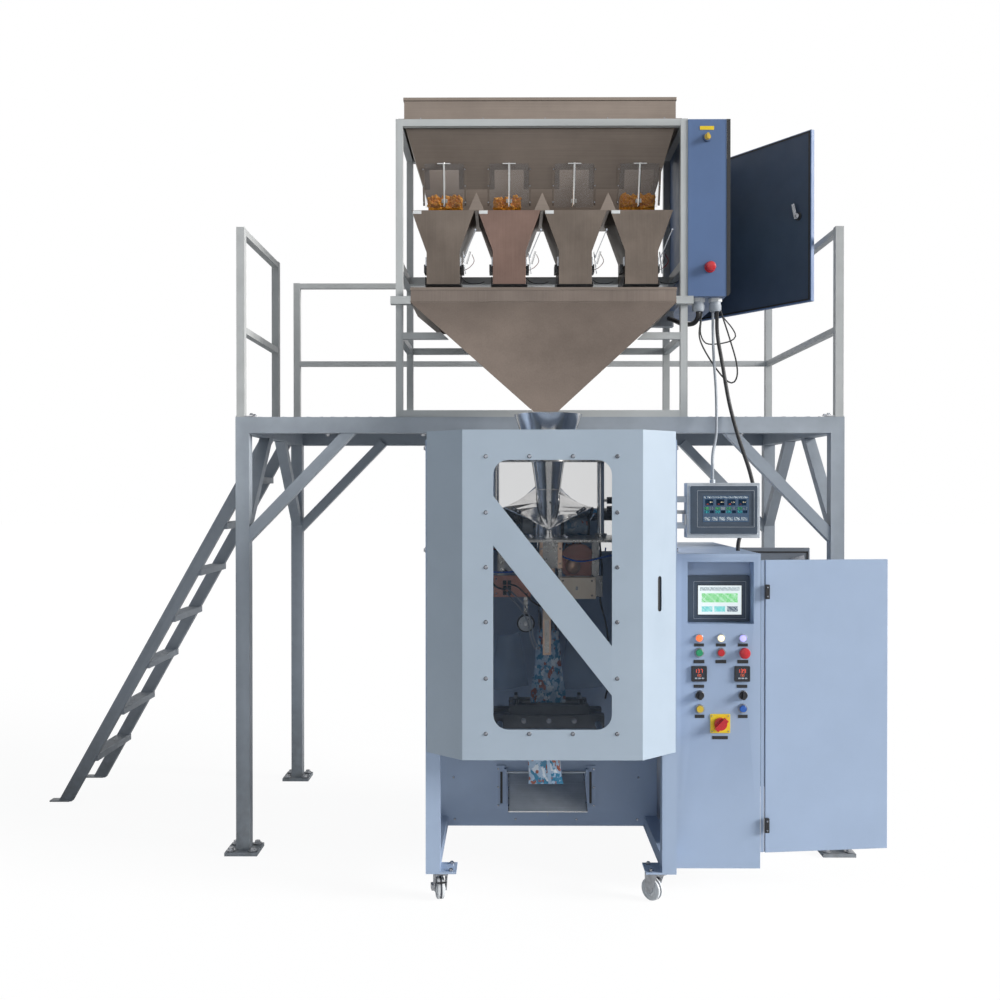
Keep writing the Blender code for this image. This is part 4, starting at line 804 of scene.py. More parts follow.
screws("bracket_screws", [(0.072 * math.sin(a), TUBE_Y + 0.072 * math.cos(a), 1.4527)
    for a in (0.6, 2.2, 3.8, 5.4)], 0.004, 0.003, out=UP)
post_parts = []
for side in SIDES:
    post_parts += [(chrome, rod_z(side * 0.18, TUBE_Y, (1.179, 1.4355), 0.0125, 28)),
        (ground_steel, rod_z(side * 0.18, TUBE_Y, (1.1785, 1.192), 0.019, 28))]
mesh_piece("table_posts", "base", post_parts, bevel=0.0008)

# The drives below the table: clamp blocks, a clutch disc, sockets, air tubes and leads.
drive_parts = [(sand_block, block(0.0335, 0.156, 0.261, 0.3006, 0.9762, 1.0478)),
    (copper_tape, block(-0.1866, -0.0594, 0.3472, 0.3728, 0.9742, 1.0468)),
    *same(bronze, block(-0.0326, -0.022, 0.2394, 0.3006, 1.04, 1.169),
        block(0.027, 0.0426, 0.2394, 0.3006, 1.0795, 1.169)),
    (copper_tape, lathe(((0, 0), (0.06, 0), (0.0635, 0.003), (0.0635, 0.011), (0.06, 0.014), (0, 0.014)),
        (0.104, 0.378, 1.092), (0, 1, 0), 48)),
    (bronze, lathe(((0, 0), (0.014, 0.001), (0.023, 0.006), (0.026, 0.014), (0.026, 0.028), (0, 0.028)),
        (0.086, 0.35, 1.078), (0, 1, 0), 32)),
    (zinc_plate, rod_y(-0.125, (0.376, 0.43), 1.09, 0.032, 32)),
    *same(black_plastic, rod_y(-0.125, (0.43, 0.5), 1.09, 0.04, 32),
        rod_y(0.104, (0.393, 0.47), 1.092, 0.04, 32))]
mesh_piece("belt_drives", "base", drive_parts, bevel=0.0012)
socket_parts = same(black_plastic, *[block(x - 0.006, x + 0.006, 0.3395, 0.3475, z - 0.007, z + 0.007)
    for x in (-0.149, -0.133) for z in (0.988, 1.006, 1.024)])
socket_parts += same(zinc_plate, block(0.088, 0.096, 0.256, 0.2612, 1.006, 1.018))
mesh_piece("drive_sockets", "base", socket_parts, bevel=0.001)
screws("drive_screws", [(x, 0.2606, z) for x in (0.046, 0.143) for z in (0.987, 1.037)]
    + [(x, 0.3468, z) for x in (-0.178, -0.072) for z in (0.986, 1.036)]
    + [(x, 0.239, z) for x in (-0.027, 0.035) for z in (1.095, 1.145)], 0.0036, 0.0022)
lead_parts = [*same(blue_air_tube, wire(((-0.345, 0.33, 1.085), (-0.25, 0.325, 1.066),
    (-0.175, 0.335, 1.06), (-0.12, 0.345, 1.062), (-0.085, 0.38, 1.075)), 0.003),
    wire(((0.345, 0.4, 1.13), (0.23, 0.35, 1.12), (0.12, 0.3, 1.1), (0.06, 0.29, 1.11), (0.03, 0.31, 1.13)),
        0.003)), *same(grey_cable, wire(((-0.141, 0.338, 1.006), (-0.12, 0.3, 0.99), (-0.085, 0.285, 0.955),
        (-0.06, 0.29, 0.9), (-0.052, 0.3, 0.84), (-0.03, 0.302, 0.8)), 0.0028),
        wire(((-0.141, 0.338, 0.99), (-0.126, 0.305, 0.972), (-0.095, 0.29, 0.94), (-0.07, 0.292, 0.89),
            (-0.06, 0.3, 0.835), (-0.045, 0.318, 0.8)), 0.0024)),
    *same(black_cable, wire(((-0.133, 0.338, 1.02), (-0.105, 0.31, 1.012), (-0.075, 0.295, 0.985),
        (-0.05, 0.29, 0.96), (-0.02, 0.297, 0.945)), 0.0028),
        wire(((-0.2, 0.3, 1.16), (-0.205, 0.3, 1.08), (-0.185, 0.305, 1.02), (-0.15, 0.33, 1.0)), 0.0032),
        wire(((0.18, 0.39, 1.16), (0.188, 0.392, 1.06), (0.182, 0.39, 0.96), (0.205, 0.395, 0.86),
            (0.215, 0.395, 0.7), (0.2, 0.4, 0.616)), 0.0034))]
mesh_piece("drive_leads", "base", lead_parts)
for side, label in ((-1, "left"), (1, "right")):
    hub = (side * 0.077, 0.33, 0.887)
    mesh_piece(f"pulley_band_{label}", f"pull_pulley_{label}",
        [*same(black_rubber, hoop(((0.0272, -0.0095), (0.03, -0.0095), (0.0308, -0.006), (0.0308, 0.006),
            (0.03, 0.0095), (0.0272, 0.0095)), hub, (0, 1, 0), 36),
            hoop(((0.0255, -0.0156), (0.0302, -0.0156), (0.0302, -0.0118), (0.0255, -0.0118)), hub,
                (0, 1, 0), 36)), (zinc_plate, lathe(((0, -0.019), (0.0085, -0.019), (0.0095, -0.0175),
                (0.0095, -0.014)), hub, (0, 1, 0), 24))])
    screws(f"pulley_screws_{label}", [(hub[0] + 0.017 * math.sin(a), 0.3146, hub[2] + 0.017 * math.cos(a))
        for a in (0.5, 2.6, 4.7)], 0.0022, 0.0014, f"pull_pulley_{label}")
mesh_piece("seal_bar_heater", "vertical_seal_bar",
           [(ground_steel, block(-0.014, 0.0015, 0.2985, 0.3006, 0.79, 1.03)),
            (sand_block, block(-0.0185, 0.006, 0.296, 0.3002, 0.9, 0.935))], bevel=0.0008)

# ---------------------------------------------------------------- jaws, film and pouches

for name, face, side in (("front_jaw", 0.33, -1), ("rear_jaw", 0.39, 1)):
    ribs(f"{name}_serration", [(0.0, face - side * 0.0006, 0.573 + 0.0045 * k) for k in range(9)],
        (0.262, 0.0022, 0.0022), ground_steel, name)
    back = face + side * 0.044
    parts = [(blackened_steel, block(-0.1, 0.1, *sorted((back, back + side * 0.006)), 0.548, 0.58))]
    for x in (-0.11, 0.11):
        parts += [(zinc_plate, rod_z(x, face + side * 0.012, (0.616, 0.626), 0.009, 20)),
            (black_plastic, rod_z(x, face + side * 0.03, (0.616, 0.634), 0.006, 16))]
    mesh_piece(f"{name}_fittings", name, parts, bevel=0.0008)
    bolts(f"{name}_bolts", [(x, back + side * 0.0065, 0.564) for x in (-0.085, 0.0, 0.085)], 0.006, 0.005,
        name, out=(0, side, 0))


TUBE_END, JAW_TOP = 0.868, 0.606


def lay_flat(u, v):
    """The film tube closing from round, below the forming tube, to flat between the jaws."""
    z = TUBE_END - v * (TUBE_END - JAW_TOP)
    flat = min(1.0, v * 1.15) ** 1.4
    wide = 0.0368 + flat * 0.023
    deep = 0.0368 * (1 - flat) + 0.0022
    angle = 2 * math.pi * u
    pucker = 0.0014 * math.sin(5 * angle + 9 * v) * math.sin(math.pi * v)
    return (wide * math.cos(angle) + pucker, TUBE_Y - deep * math.sin(angle) + pucker * 0.5, z)


mesh_piece("film_tube", "base", [(pouch_print, curved_sheet(lay_flat, 48, 26, 0.0005))], angle=60)


def pillow(x, z_low, z_high, wide, deep, lean):
    """A filled pouch with flat crimped ends."""
    rings = []
    for k in range(15):
        t = k / 14
        belly = math.sin(math.pi * min(1.0, max(0.0, (t - 0.06) / 0.88))) ** 0.55
        half = wide / 2 * (1 - 0.07 * belly)
        ring = []
        for i in range(28):
            a = 2 * math.pi * i / 28
            crease = 1 + 0.05 * math.sin(3 * a + 7 * t) * belly
            side = math.copysign(abs(math.cos(a)) ** 0.75, math.cos(a))
            ring.append((x + half * side + lean * (t - 0.5),
                TUBE_Y - (deep / 2 * belly * crease + 0.0006) * math.sin(a), z_low + t * (z_high - z_low)))
        rings.append(ring)
    return ring_stack(rings)


def back_seam(x, z_low, z_high, deep, lean):
    """The fin where a pouch's long seam is folded flat."""
    def place(u, v):
        belly = math.sin(math.pi * min(1.0, max(0.0, (v - 0.06) / 0.88))) ** 0.55
        return (x + lean * (v - 0.5) + (u - 0.5) * 0.011, 0.3575 - deep / 2 * belly * 1.04 - 0.0006 * u,
                z_low + v * (z_high - z_low))
    return curved_sheet(place, 3, 20, 0.0005)


mesh_piece("pouches", "base", [*same(pouch_print, pillow(-0.004, 0.45, 0.565, 0.12, 0.03, 0.004),
    pillow(-0.012, 0.33, 0.4497, 0.12, 0.032, -0.01)), *same(film_blue,
        back_seam(0.008, 0.4505, 0.5645, 0.03, 0.004), back_seam(0.002, 0.3305, 0.449, 0.032, -0.01))],
    angle=70)


def web(u, v):
    """The film from the reel up to the roller."""
    x = (u - 0.5) * 0.388
    return (x, 0.722 - v * 0.114 + 0.002 * math.sin(4 * v + 3 * u), 0.43 + v * 0.815)


def over_roller(u, v):
    angle = math.radians(-20 + v * 150)
    return ((u - 0.5) * 0.388, 0.583 + 0.0227 * math.cos(angle), 1.252 + 0.0227 * math.sin(angle))


def to_collar(u, v):
    """From the roller down to the shoulder's back edge."""
    x = (u - 0.5) * (0.388 - 0.1 * v)
    return (x, 0.5684 - v * 0.046, 1.2694 - v * 0.058 + 0.004 * math.sin(math.pi * v) * math.cos(6 * u))


mesh_piece("film_web", "base", same(web_print, curved_sheet(web, 12, 20), curved_sheet(over_roller, 12, 14),
    curved_sheet(to_collar, 16, 10)), angle=60)


def loose_film(x, y, wide, z_low, z_high, bulge, phase):
    """A limp offcut of clear film hanging beside the jaws."""
    def place(u, v):
        z = z_high - v * (z_high - z_low)
        fold = 0.012 * math.sin(7 * u + phase + 2 * v) * v
        return (x + (u - 0.5) * wide * (0.55 + 0.45 * v), y + bulge * math.sin(math.pi * u) + fold,
            z + 0.012 * u * u)
    return curved_sheet(place, 22, 16, 0.0004)


mesh_piece("film_guards", "base", same(film_clear, loose_film(-0.135, 0.455, 0.14, 0.64, 0.83, -0.03, 0.4),
    loose_film(0.12, 0.46, 0.16, 0.64, 0.86, -0.028, 2.0)), angle=60)
REEL_AXIS = (0.0, 0.85, 0.42)
reel_parts = same(pale_plastic, *[
    hoop(((0.0125, side * 0.2003), (0.038, side * 0.2003), (0.038, side * 0.204), (0.026, side * 0.212),
        (0.0125, side * 0.212)), REEL_AXIS, (1, 0, 0), 36) for side in SIDES])
reel_parts += same(web_print, *[
    hoop(((0.0385, side * 0.2003), (0.1302, side * 0.2003), (0.1302, side * 0.2008),
        (0.0385, side * 0.2008)), REEL_AXIS, (1, 0, 0), 48) for side in SIDES])
mesh_piece("reel_fittings", "film_roll", reel_parts)

# ---------------------------------------------------------------- bagging machine body

screws("wall_screws", [(x, 0.5565, 0.148) for x in (-0.33, -0.11, 0.11, 0.33)]
    + [(side * 0.335, 0.5565, z) for side in SIDES for z in (0.3, 0.46, 0.7, 0.95)], 0.0045, 0.0025)
screws("lug_screws", [(side * 0.1725, 0.551, z) for side in SIDES for z in (0.2, 0.266, 0.332)],
    0.004, 0.0025)
SIDE_BOLTS = ((0.13, 1.475), (0.583, 1.475), (0.13, 1.147), (0.583, 1.147), (0.583, 0.137), (1.085, 1.177))
bolts("side_bolts", [((side * 0.4042, y, z), (side, 0, 0)) for side in SIDES for y, z in SIDE_BOLTS],
    0.0065, 0.005, out=None)
bolts("foot_plate_bolts", [(side * x, y + k * 0.034, 0.1165) for side in SIDES
    for x in (0.322, 0.39) for y in (0.155, 1.055) for k in SIDES], 0.006, 0.0055)
# The lug slots are thin black sheets on the wall's face, painted shade standing for the dark of the openings.
mesh_piece("lug_slots", "base", [(black_plastic, prism(
    rounded(*sorted((side * 0.1569, side * 0.1655)), 0.2065, 0.3215, 0.0028, 4), "y", 0.5563, 0.5573))
    for side in SIDES])
TRAY_BACK, TRAY_FRONT = Vector((0, 0.543, 0.325)), Vector((0, 0.37, 0.231))
tray_along = (TRAY_FRONT - TRAY_BACK).normalized()
tray_out = Vector((0, tray_along.z, -tray_along.y))
tray_parts = [(chrome, rod(TRAY_FRONT + Vector((-0.1365, 0, 0)), TRAY_FRONT + Vector((0.1365, 0, 0)),
    0.0022, 12))]
for side in SIDES:
    tray_parts.append((ground_steel, slab((TRAY_BACK + TRAY_FRONT) / 2 + tray_out * 0.0018
        + Vector((side * 0.135, 0, 0)), (1, 0, 0), tray_along, tray_out, 0.0045, 0.196, 0.0016)))
mesh_piece("tray_edges", "discharge_chute", tray_parts, bevel=0.0004)
for corner, turn in CASTER_TURNS.items():
    hub = middle_of(f"caster_wheel_{corner}")
    across = Vector((-math.sin(math.radians(turn)), math.cos(math.radians(turn)), 0))
    mesh_piece(f"tyre_groove_{corner}", f"caster_wheel_{corner}",
        [(tyre_dark, hoop(((0.0345, -0.0042), (0.0366, -0.0042), (0.0362, -0.0014), (0.0362, 0.0014),
            (0.0366, 0.0042), (0.0345, 0.0042)), hub, across, 40))]
        + [(grey_plastic, hoop(((0.0056, side * 0.0158), (0.015, side * 0.0158), (0.015, side * 0.0166),
            (0.0056, side * 0.0166)), hub, across, 30)) for side in SIDES])
brake_hub = middle_of("caster_wheel_front_left")
brake_along = Vector((math.cos(math.radians(CASTER_TURNS["front_left"])),
    math.sin(math.radians(CASTER_TURNS["front_left"])), 0))
mesh_piece("brake_lever", "caster_fork_front_left", [(black_plastic,
    slab(brake_hub - brake_along * 0.045 + Vector((0, 0, 0.03)), (-brake_along.y, brake_along.x, 0),
        Vector((0, 0, 0.35)) - brake_along, (0.33, 0, 1), 0.03, 0.032, 0.007))], bevel=0.002)

# Valve bank, motor and service unit behind the machine.
rear_parts = [(grey_plastic, block(0.12, 0.33, 0.572, 0.606, 0.76, 0.86)),
    (ground_steel, block(0.11, 0.34, 0.563, 0.573, 0.74, 0.88)),
    (pale_plastic, rod_z(-0.25, 0.62, (0.9, 0.8), 0.026, 32)),
    (ground_steel, block(-0.29, -0.21, 0.563, 0.65, 0.9, 0.935)),
    (black_plastic, rod_z(-0.25, 0.62, (0.935, 0.975), 0.02, 32)),
    *same(slate_paint, rod_x((-0.06, 0.15), 0.7, 0.64, 0.062, 40),
        block(0.02, 0.1, 0.664, 0.736, 0.69, 0.735)),
    (ground_steel, block(-0.15, -0.06, 0.64, 0.76, 0.58, 0.7)),
    (blackened_steel, block(-0.16, 0.16, 0.563, 0.76, 0.566, 0.58))]
for k in range(5):
    rear_parts.append((black_plastic, block(0.132 + k * 0.04, 0.162 + k * 0.04, 0.606, 0.622, 0.772,
        0.848)))
    for z in (0.785, 0.835):
        rear_parts.append((blue_air_tube, wire(((0.147 + k * 0.04, 0.62, z),
            (0.147 + k * 0.04, 0.65, z), (0.15 + k * 0.03, 0.68, z + 0.1),
            (0.14 + k * 0.02, 0.64, 1.06), (0.14 + k * 0.02, 0.6, 1.13)), 0.003, 0.02)))
mesh_piece("rear_drive_and_valves", "base", rear_parts, bevel=0.0015)
ribs("motor_ribs", [(0.055, 0.7 + 0.0625 * math.cos(a), 0.64 + 0.0625 * math.sin(a))
    for a in (2 * math.pi * k / 24 for k in range(24))], (0.17, 0.004, 0.004), slate_paint)

# ---------------------------------------------------------------- platform

deck = [((-1.1 + 0.045 * i, 0.655 + 0.045 * j, 1.6105), (1, 1, 0) if (i + j) % 2 else (1, -1, 0))
        for i in range(49) for j in range(24)]
grown("chequer_plate", LOZENGES, deck, {"Length": 0.03, "Height": 0.0025, "Finish": platform_paint}, "base")
FEET_X, FEET_Y = (-1.116, 1.073), (0.648, 1.669)
bolts("base_plate_bolts", [(x + i * 0.04, y + j * 0.04, 0.0175) for x in FEET_X
    for y in FEET_Y for i in SIDES for j in SIDES], 0.011, 0.01, look=zinc_plate)
under_bolts = [(x, 0.64, 1.5475) for x in (-0.8, -0.45, 0.4, 0.72)]
under_bolts += [(x, y, 1.5475) for x in (-0.335, 0.293) for y in (0.76, 1.17, 1.58)]
bolts("beam_bolts", under_bolts, 0.008, 0.007, look=zinc_plate, out=(0, 0, -1))
flanges, flange_bolts = [], []
for x, y in ((-1.122, 0.638), (-1.122, 1.233), (-1.122, 1.7), (-0.0215, 1.7), (1.079, 1.7),
    (1.079, 0.638)):
    px = min(max(x, -1.108), 1.065)
    py = min(max(y, 0.656), 1.686)
    flanges.append((zinc_plate, block(px - 0.032, px + 0.032, py - 0.032, py + 0.032, 1.6104, 1.615)))
    inward = 1 if x < 0 else -1
    back = 0.024 if y < 1.5 else -0.024
    flange_bolts += [(px + inward * 0.024, py + back, 1.6185), (px + inward * 0.024, py - back, 1.6185)]
mesh_piece("guard_flanges", "base", flanges, bevel=0.001)
bolts("guard_bolts", flange_bolts, 0.0065, 0.006)
LADDER_FOOT, TREAD_RISE = -2.075, 0.2
slope = (1.61 - 0.041) / (-1.1413 - LADDER_FOOT - 0.057)
ribs("tread_ribs", [(LADDER_FOOT + 0.0285 + TREAD_RISE * s / slope + 0.008 * k - 0.028, 1.49,
    TREAD_RISE * s + 0.0005)
    for s in range(1, 8) for k in range(8)], (0.0035, 0.34, 0.002), shaded_ladder_paint)

# ---------------------------------------------------------------- weigher


def hem(level, lift, out, thick, look):
    z, left, right, front, back = level
    outer = ((left - out, front - out), (right + out, front - out), (right + out, back + out),
        (left - out, back + out))
    inner = ((left + 0.0004, front + 0.0004), (right - 0.0004, front + 0.0004),
        (right - 0.0004, back - 0.0004), (left + 0.0004, back - 0.0004))
    return (look, frame_ring(outer, inner, "z", z - lift - thick, z - lift))


mesh_piece("bin_hem", "base", [hem((2.7955, -0.5225, 0.484, 0.663, 1.065), 0.0, 0.003, 0.012, brushed_x)],
    bevel=0.001)
mesh_piece("hopper_hem", "base", [hem((2.0835, -0.494, 0.479, 0.612, 0.925), 0.0, 0.0018, 0.01, brushed_x),
    hem((2.034, -0.494, 0.479, 0.612, 0.925), 0.0, 0.001, 0.003, brushed_x)], bevel=0.0006)
screws("bin_flange_screws", [(x, y, 2.7125) for y in (0.652, 1.076) for x in (-0.46, -0.23, 0.0, 0.23, 0.44)],
    0.005, 0.003, out=UP)

LANE_MIDDLE, LANE_PITCH = -0.0105, 0.2447
LANE_X = [LANE_MIDDLE + (lane - 1.5) * LANE_PITCH for lane in range(4)]
HEAP_FLOOR = 2.412
GATE_LEAN = 0.36      # how far the gates lean towards the viewer for each metre up
GATE_UP = Vector((0, -0.112, 0.31)).normalized()
GATE_OUT = Vector((0, -GATE_UP.z, GATE_UP.y))


def hashed(number):
    """A repeatable share from 0 to 1."""
    value = math.sin(number * 12.9898) * 43758.5453
    return value - math.floor(value)


def crisp_heap(lane, count, left, right):
    """A loose heap of small puffed snacks behind a gate."""
    shapes = []
    for k in range(count):
        seed = lane * 1000 + k
        x = LANE_X[lane] + left + hashed(seed) * (right - left)
        z = HEAP_FLOOR + hashed(seed + 0.31) * 0.046
        y = 0.769 - (z - 2.4) * GATE_LEAN + 0.012 + hashed(seed + 0.57) * 0.03
        size = 0.0065 + 0.004 * hashed(seed + 0.77)
        tilt = Vector((hashed(seed + 0.1) - 0.5, hashed(seed + 0.2) - 0.5, hashed(seed + 0.3) - 0.5))
        shapes.append((crisps, lathe(((0, -size * 0.5), (size * 0.8, -size * 0.35), (size, 0.0),
            (size * 0.7, size * 0.4), (0, size * 0.45)), (x, y, z), tilt, 9)))
    return shapes


def snack_bank(lane, left, right, high):
    """The snacks piled up against the inside of a gate."""
    count = 14
    crest = [(LANE_X[lane] + left + (right - left) * i / count,
              HEAP_FLOOR + high * (0.75 + 0.25 * hashed(lane * 40 + i))) for i in range(count + 1)]
    outline = crest + [(LANE_X[lane] + right, 2.408), (LANE_X[lane] + left, 2.408)]
    return crisps, ring_stack([[(x, lean - (z - 2.4) * GATE_LEAN, z) for x, z in outline]
        for lean in (0.786, 0.83)])


heaps = [snack_bank(0, -0.064, 0.066, 0.046), snack_bank(1, -0.06, 0.045, 0.036),
    snack_bank(3, -0.066, 0.066, 0.06)]
heaps += crisp_heap(0, 200, -0.06, 0.062) + crisp_heap(1, 110, -0.056, 0.042)
heaps += crisp_heap(3, 230, -0.062, 0.062)
mesh_piece("snack_heaps", "base", heaps, angle=80)

pot_parts, pot_screws, springs, flap_wires = [], [], [], []
for lane, x in enumerate(LANE_X):
    gate = Vector((x, 0.7352, 2.49)) + GATE_OUT * 0.0018
    rise, out = GATE_UP, GATE_OUT
    ahead = out * 0.0045
    mesh_piece(f"feed_gate_window_{lane + 1}", f"feed_gate_{lane + 1}",
        [(gate_acrylic, slab(gate, (1, 0, 0), rise, out, 0.147, 0.16, 0.0016)),
            *same(chrome, rod(gate - rise * 0.076 + ahead, gate + rise * 0.084 + ahead, 0.0052, 20),
                slab(gate + rise * 0.081 + out * 0.0075, (1, 0, 0), rise, out, 0.05, 0.004, 0.013)),
            (ground_steel, slab(gate - rise * 0.055 + ahead, (1, 0, 0), rise, out, 0.022, 0.014, 0.006))],
        bevel=0.0006, stands_for=(f"feed_gate_{lane + 1}",))
    for side in SIDES:
        for k in (-0.06, 0.0, 0.06):
            pot_screws.append((gate + Vector((side * 0.0785, 0, 0)) + rise * k + out * 0.0052, out))
    pot_parts.append((pale_plastic, block(x - 0.112, x - 0.08, 0.6488, 0.6498, 2.362, 2.3745)))
    for side in SIDES:
        cheek = sorted((x + side * 0.0615, x + side * 0.0745))
        tab = sorted((x + side * 0.0615, x + side * 0.066))
        pot_parts += [(black_plastic, block(*cheek, 0.7, 0.76, 2.156, 2.186)),
            (zinc_plate, block(*tab, 0.66, 0.69, 2.172, 2.205))]
    pot_parts += [*same(zinc_plate, slab((x + 0.0975, 0.692, 2.262), (0, 1, 0), (0.42, 0, 1), (1, 0, -0.42),
        0.012, 0.11, 0.003), slab((x + 0.077, 0.692, 2.19), (0, 1, 0), (-0.12, 0, 1), (1, 0, 0.12), 0.012,
            0.08, 0.003)), *same(screw_steel, rod_y(x + 0.0765, (0.684, 0.702), 2.214, 0.004, 16),
            rod_y(x + 0.119, (0.684, 0.702), 2.312, 0.004, 16)),
        (ground_steel, block(x - 0.018, x + 0.018, 0.918, 0.934, 2.16, 2.182))]
    springs.append(((x + 0.084, 0.715, 2.19), (0.3, 0, 1)))
    flap_wires += [(black_cable, wire(((x + 0.06, 0.76, 2.152), (x + 0.085, 0.75, 2.128),
        (x + 0.122, 0.745, 2.122), (x + 0.15, 0.76, 2.132)), 0.0014)),
        (red_wire, wire(((x + 0.07, 0.74, 2.17), (x + 0.095, 0.735, 2.182), (x + 0.112, 0.74, 2.206),
            (x + 0.104, 0.76, 2.236)), 0.0012))]
mesh_piece("hopper_links_and_labels", "base", pot_parts, bevel=0.0006)
mesh_piece("sensor_wires", "base", flap_wires)
screws("gate_guide_screws", pot_screws, 0.003, 0.0018, out=None)
grown("link_springs", SPRINGS, springs, {"Radius": 0.0035, "Length": 0.05, "Turns": 13.0, "Wire": 0.0006,
    "Finish": screw_steel}, "base")
feeder_parts = []
for x in LANE_X:
    feeder_parts += [(slate_paint, block(x - 0.042, x + 0.042, 0.918, 0.978, 2.225, 2.304)),
        *same(black_rubber, rod_z(x - 0.025, 0.95, (2.204, 2.225), 0.01, 20),
            rod_z(x + 0.025, 0.95, (2.204, 2.225), 0.01, 20)),
        (zinc_plate, block(x - 0.05, x + 0.05, 0.93, 0.97, 2.186, 2.204))]
mesh_piece("feeder_vibrators", "base", feeder_parts, bevel=0.0015)

mesh_piece("wire_duct", "base", same(grey_plastic, block(0.4, 0.52, 0.972, 0.975, 1.99, 2.05),
    block(0.4, 0.52, 0.936, 0.975, 1.99, 1.993), block(0.4, 0.52, 0.936, 0.975, 2.047, 2.05)), bevel=0.0005)
ribs("wire_duct_teeth", [(0.403 + 0.0076 * k, 0.937, 2.02) for k in range(16)],
    (0.0042, 0.002, 0.056), grey_plastic)

# ---------------------------------------------------------------- weigher cabinet

gland_parts = []
for x in (0.571, 0.634):
    gland = (x, 0.68, 0)
    gland_parts += same(pale_plastic, lathe(((0, 2.054), (0.025, 2.054), (0.025, 2.04), (0, 2.04)), gland,
        UP, 6))
    gland_parts += same(grey_plastic, lathe(((0, 2.041), (0.0205, 2.041), (0.0205, 2.03), (0.0225, 2.029),
        (0.0225, 2.012), (0.0185, 2.005), (0.01, 2.0052), (0, 2.0052)), gland, UP, 24))
gland_parts.append((black_plastic, wire(((0.571, 0.68, 2.008), (0.571, 0.684, 1.985),
    (0.56, 0.72, 1.968), (0.535, 0.8, 1.978), (0.51, 0.88, 2.006), (0.5, 0.93, 2.02)), 0.009,
    0.008, 16)))
mesh_piece("cable_glands", "base", gland_parts, bevel=0.0006)
mesh_piece("weigher_door_frame", "base", [(black_rubber,
    prism(((0.666, 2.054), (0.6715, 2.054), (0.6795, 2.064), (0.6795, 2.703), (0.666, 2.703)), "y",
        0.6282, 0.6298))], bevel=0.0003)
mesh_piece("weigher_switch_plates", "base", [(yellow_plate,
    prism(rounded(0.567, 0.619, 2.6635, 2.6775, 0.002), "y", 0.6288, 0.6299)),
    (black_plastic, hoop(((0.0105, -0.0046), (0.015, -0.0046), (0.016, -0.003), (0.016, -0.0001),
        (0.0105, -0.0001)), (0.594, 0.63, 2.636), (0, 1, 0), 32)),
    (red_cap, hoop(((0.0125, -0.0066), (0.0185, -0.0066), (0.0205, -0.004), (0.0205, -0.0001),
        (0.0125, -0.0001)), (0.605, 0.63, 2.16), (0, 1, 0), 32))], bevel=0.0003)
WC_DOOR = swung(0.668, 1.22, 35)
# The navy sheet on the door's inner face is painted shade; the black strips round it are the door's gasket.
mesh_piece("weigher_door_gasket_and_painted_shade", "weigher_cabinet_door",
    same(navy_paint, block(0.6676, 0.6685, 0.642, 1.208, 2.065, 2.692), place=WC_DOOR)
    + same(black_rubber, block(0.6663, 0.6686, 0.636, 0.643, 2.06, 2.697),
        block(0.6663, 0.6686, 0.636, 1.214, 2.06, 2.066),
        block(0.6663, 0.6686, 0.636, 1.214, 2.691, 2.697), place=WC_DOOR), bevel=0.0008)
latch = same(screw_steel, rod_x((0.667, 0.654), 0.69, 2.385, 0.011), place=WC_DOOR)
latch += same(black_plastic, rod_x((0.667, 0.664), 0.69, 2.385, 0.015), place=WC_DOOR)
latch += same(screw_steel, slab((0.6555, 0.7, 2.405), (0, 1, -0.25), (0, 0.25, 1), (1, 0, 0), 0.014, 0.06,
    0.003), place=WC_DOOR)
latch += same(chrome, rod_x((0.6874, 0.698), 0.69, 2.385, 0.01),
    block(0.698, 0.703, 0.685, 0.695, 2.373, 2.397), place=WC_DOOR)
mesh_piece("weigher_door_latch", "weigher_cabinet_door", latch, bevel=0.0006)
mesh_piece("weigher_door_hinges", "base", same(screw_steel, *[
    rod_z(0.668, 1.2255, (z - 0.022, z + 0.022), 0.0055, 20) for z in (2.15, 2.61)]),
    bevel=0.0006)
boards = [(zinc_plate, block(0.5275, 0.53, 0.66, 1.19, 2.085, 2.675))]
for k in range(4):
    y = 0.69 + 0.122 * k
    boards += [(pale_plastic, block(0.53, 0.56, y, y + 0.1, 2.47, 2.64)),
        (black_plastic, block(0.56, 0.566, y + 0.02, y + 0.08, 2.5, 2.56)),
        (green_cap, block(0.53, 0.543, y + 0.004, y + 0.096, 2.3, 2.4)),
        (grey_plastic, block(0.543, 0.56, y + 0.01, y + 0.09, 2.31, 2.33))]
for z in (2.43, 2.265, 2.12):
    boards.append((grey_plastic, block(0.53, 0.565, 0.67, 1.18, z, z + 0.028)))
for k in range(14):
    boards.append((grey_plastic if k % 4 else blue_cap, block(0.53, 0.57, 0.7 + 0.03 * k,
        0.727 + 0.03 * k, 2.175, 2.245)))
mesh_piece("weigher_boards", "base", boards, bevel=0.001)
ribs("weigher_duct_slots", [(0.5655, 0.676 + 0.012 * k, z) for k in range(42)
    for z in (2.444, 2.279, 2.134)], (0.0016, 0.005, 0.024), pale_plastic)

# ---------------------------------------------------------------- control cabinet

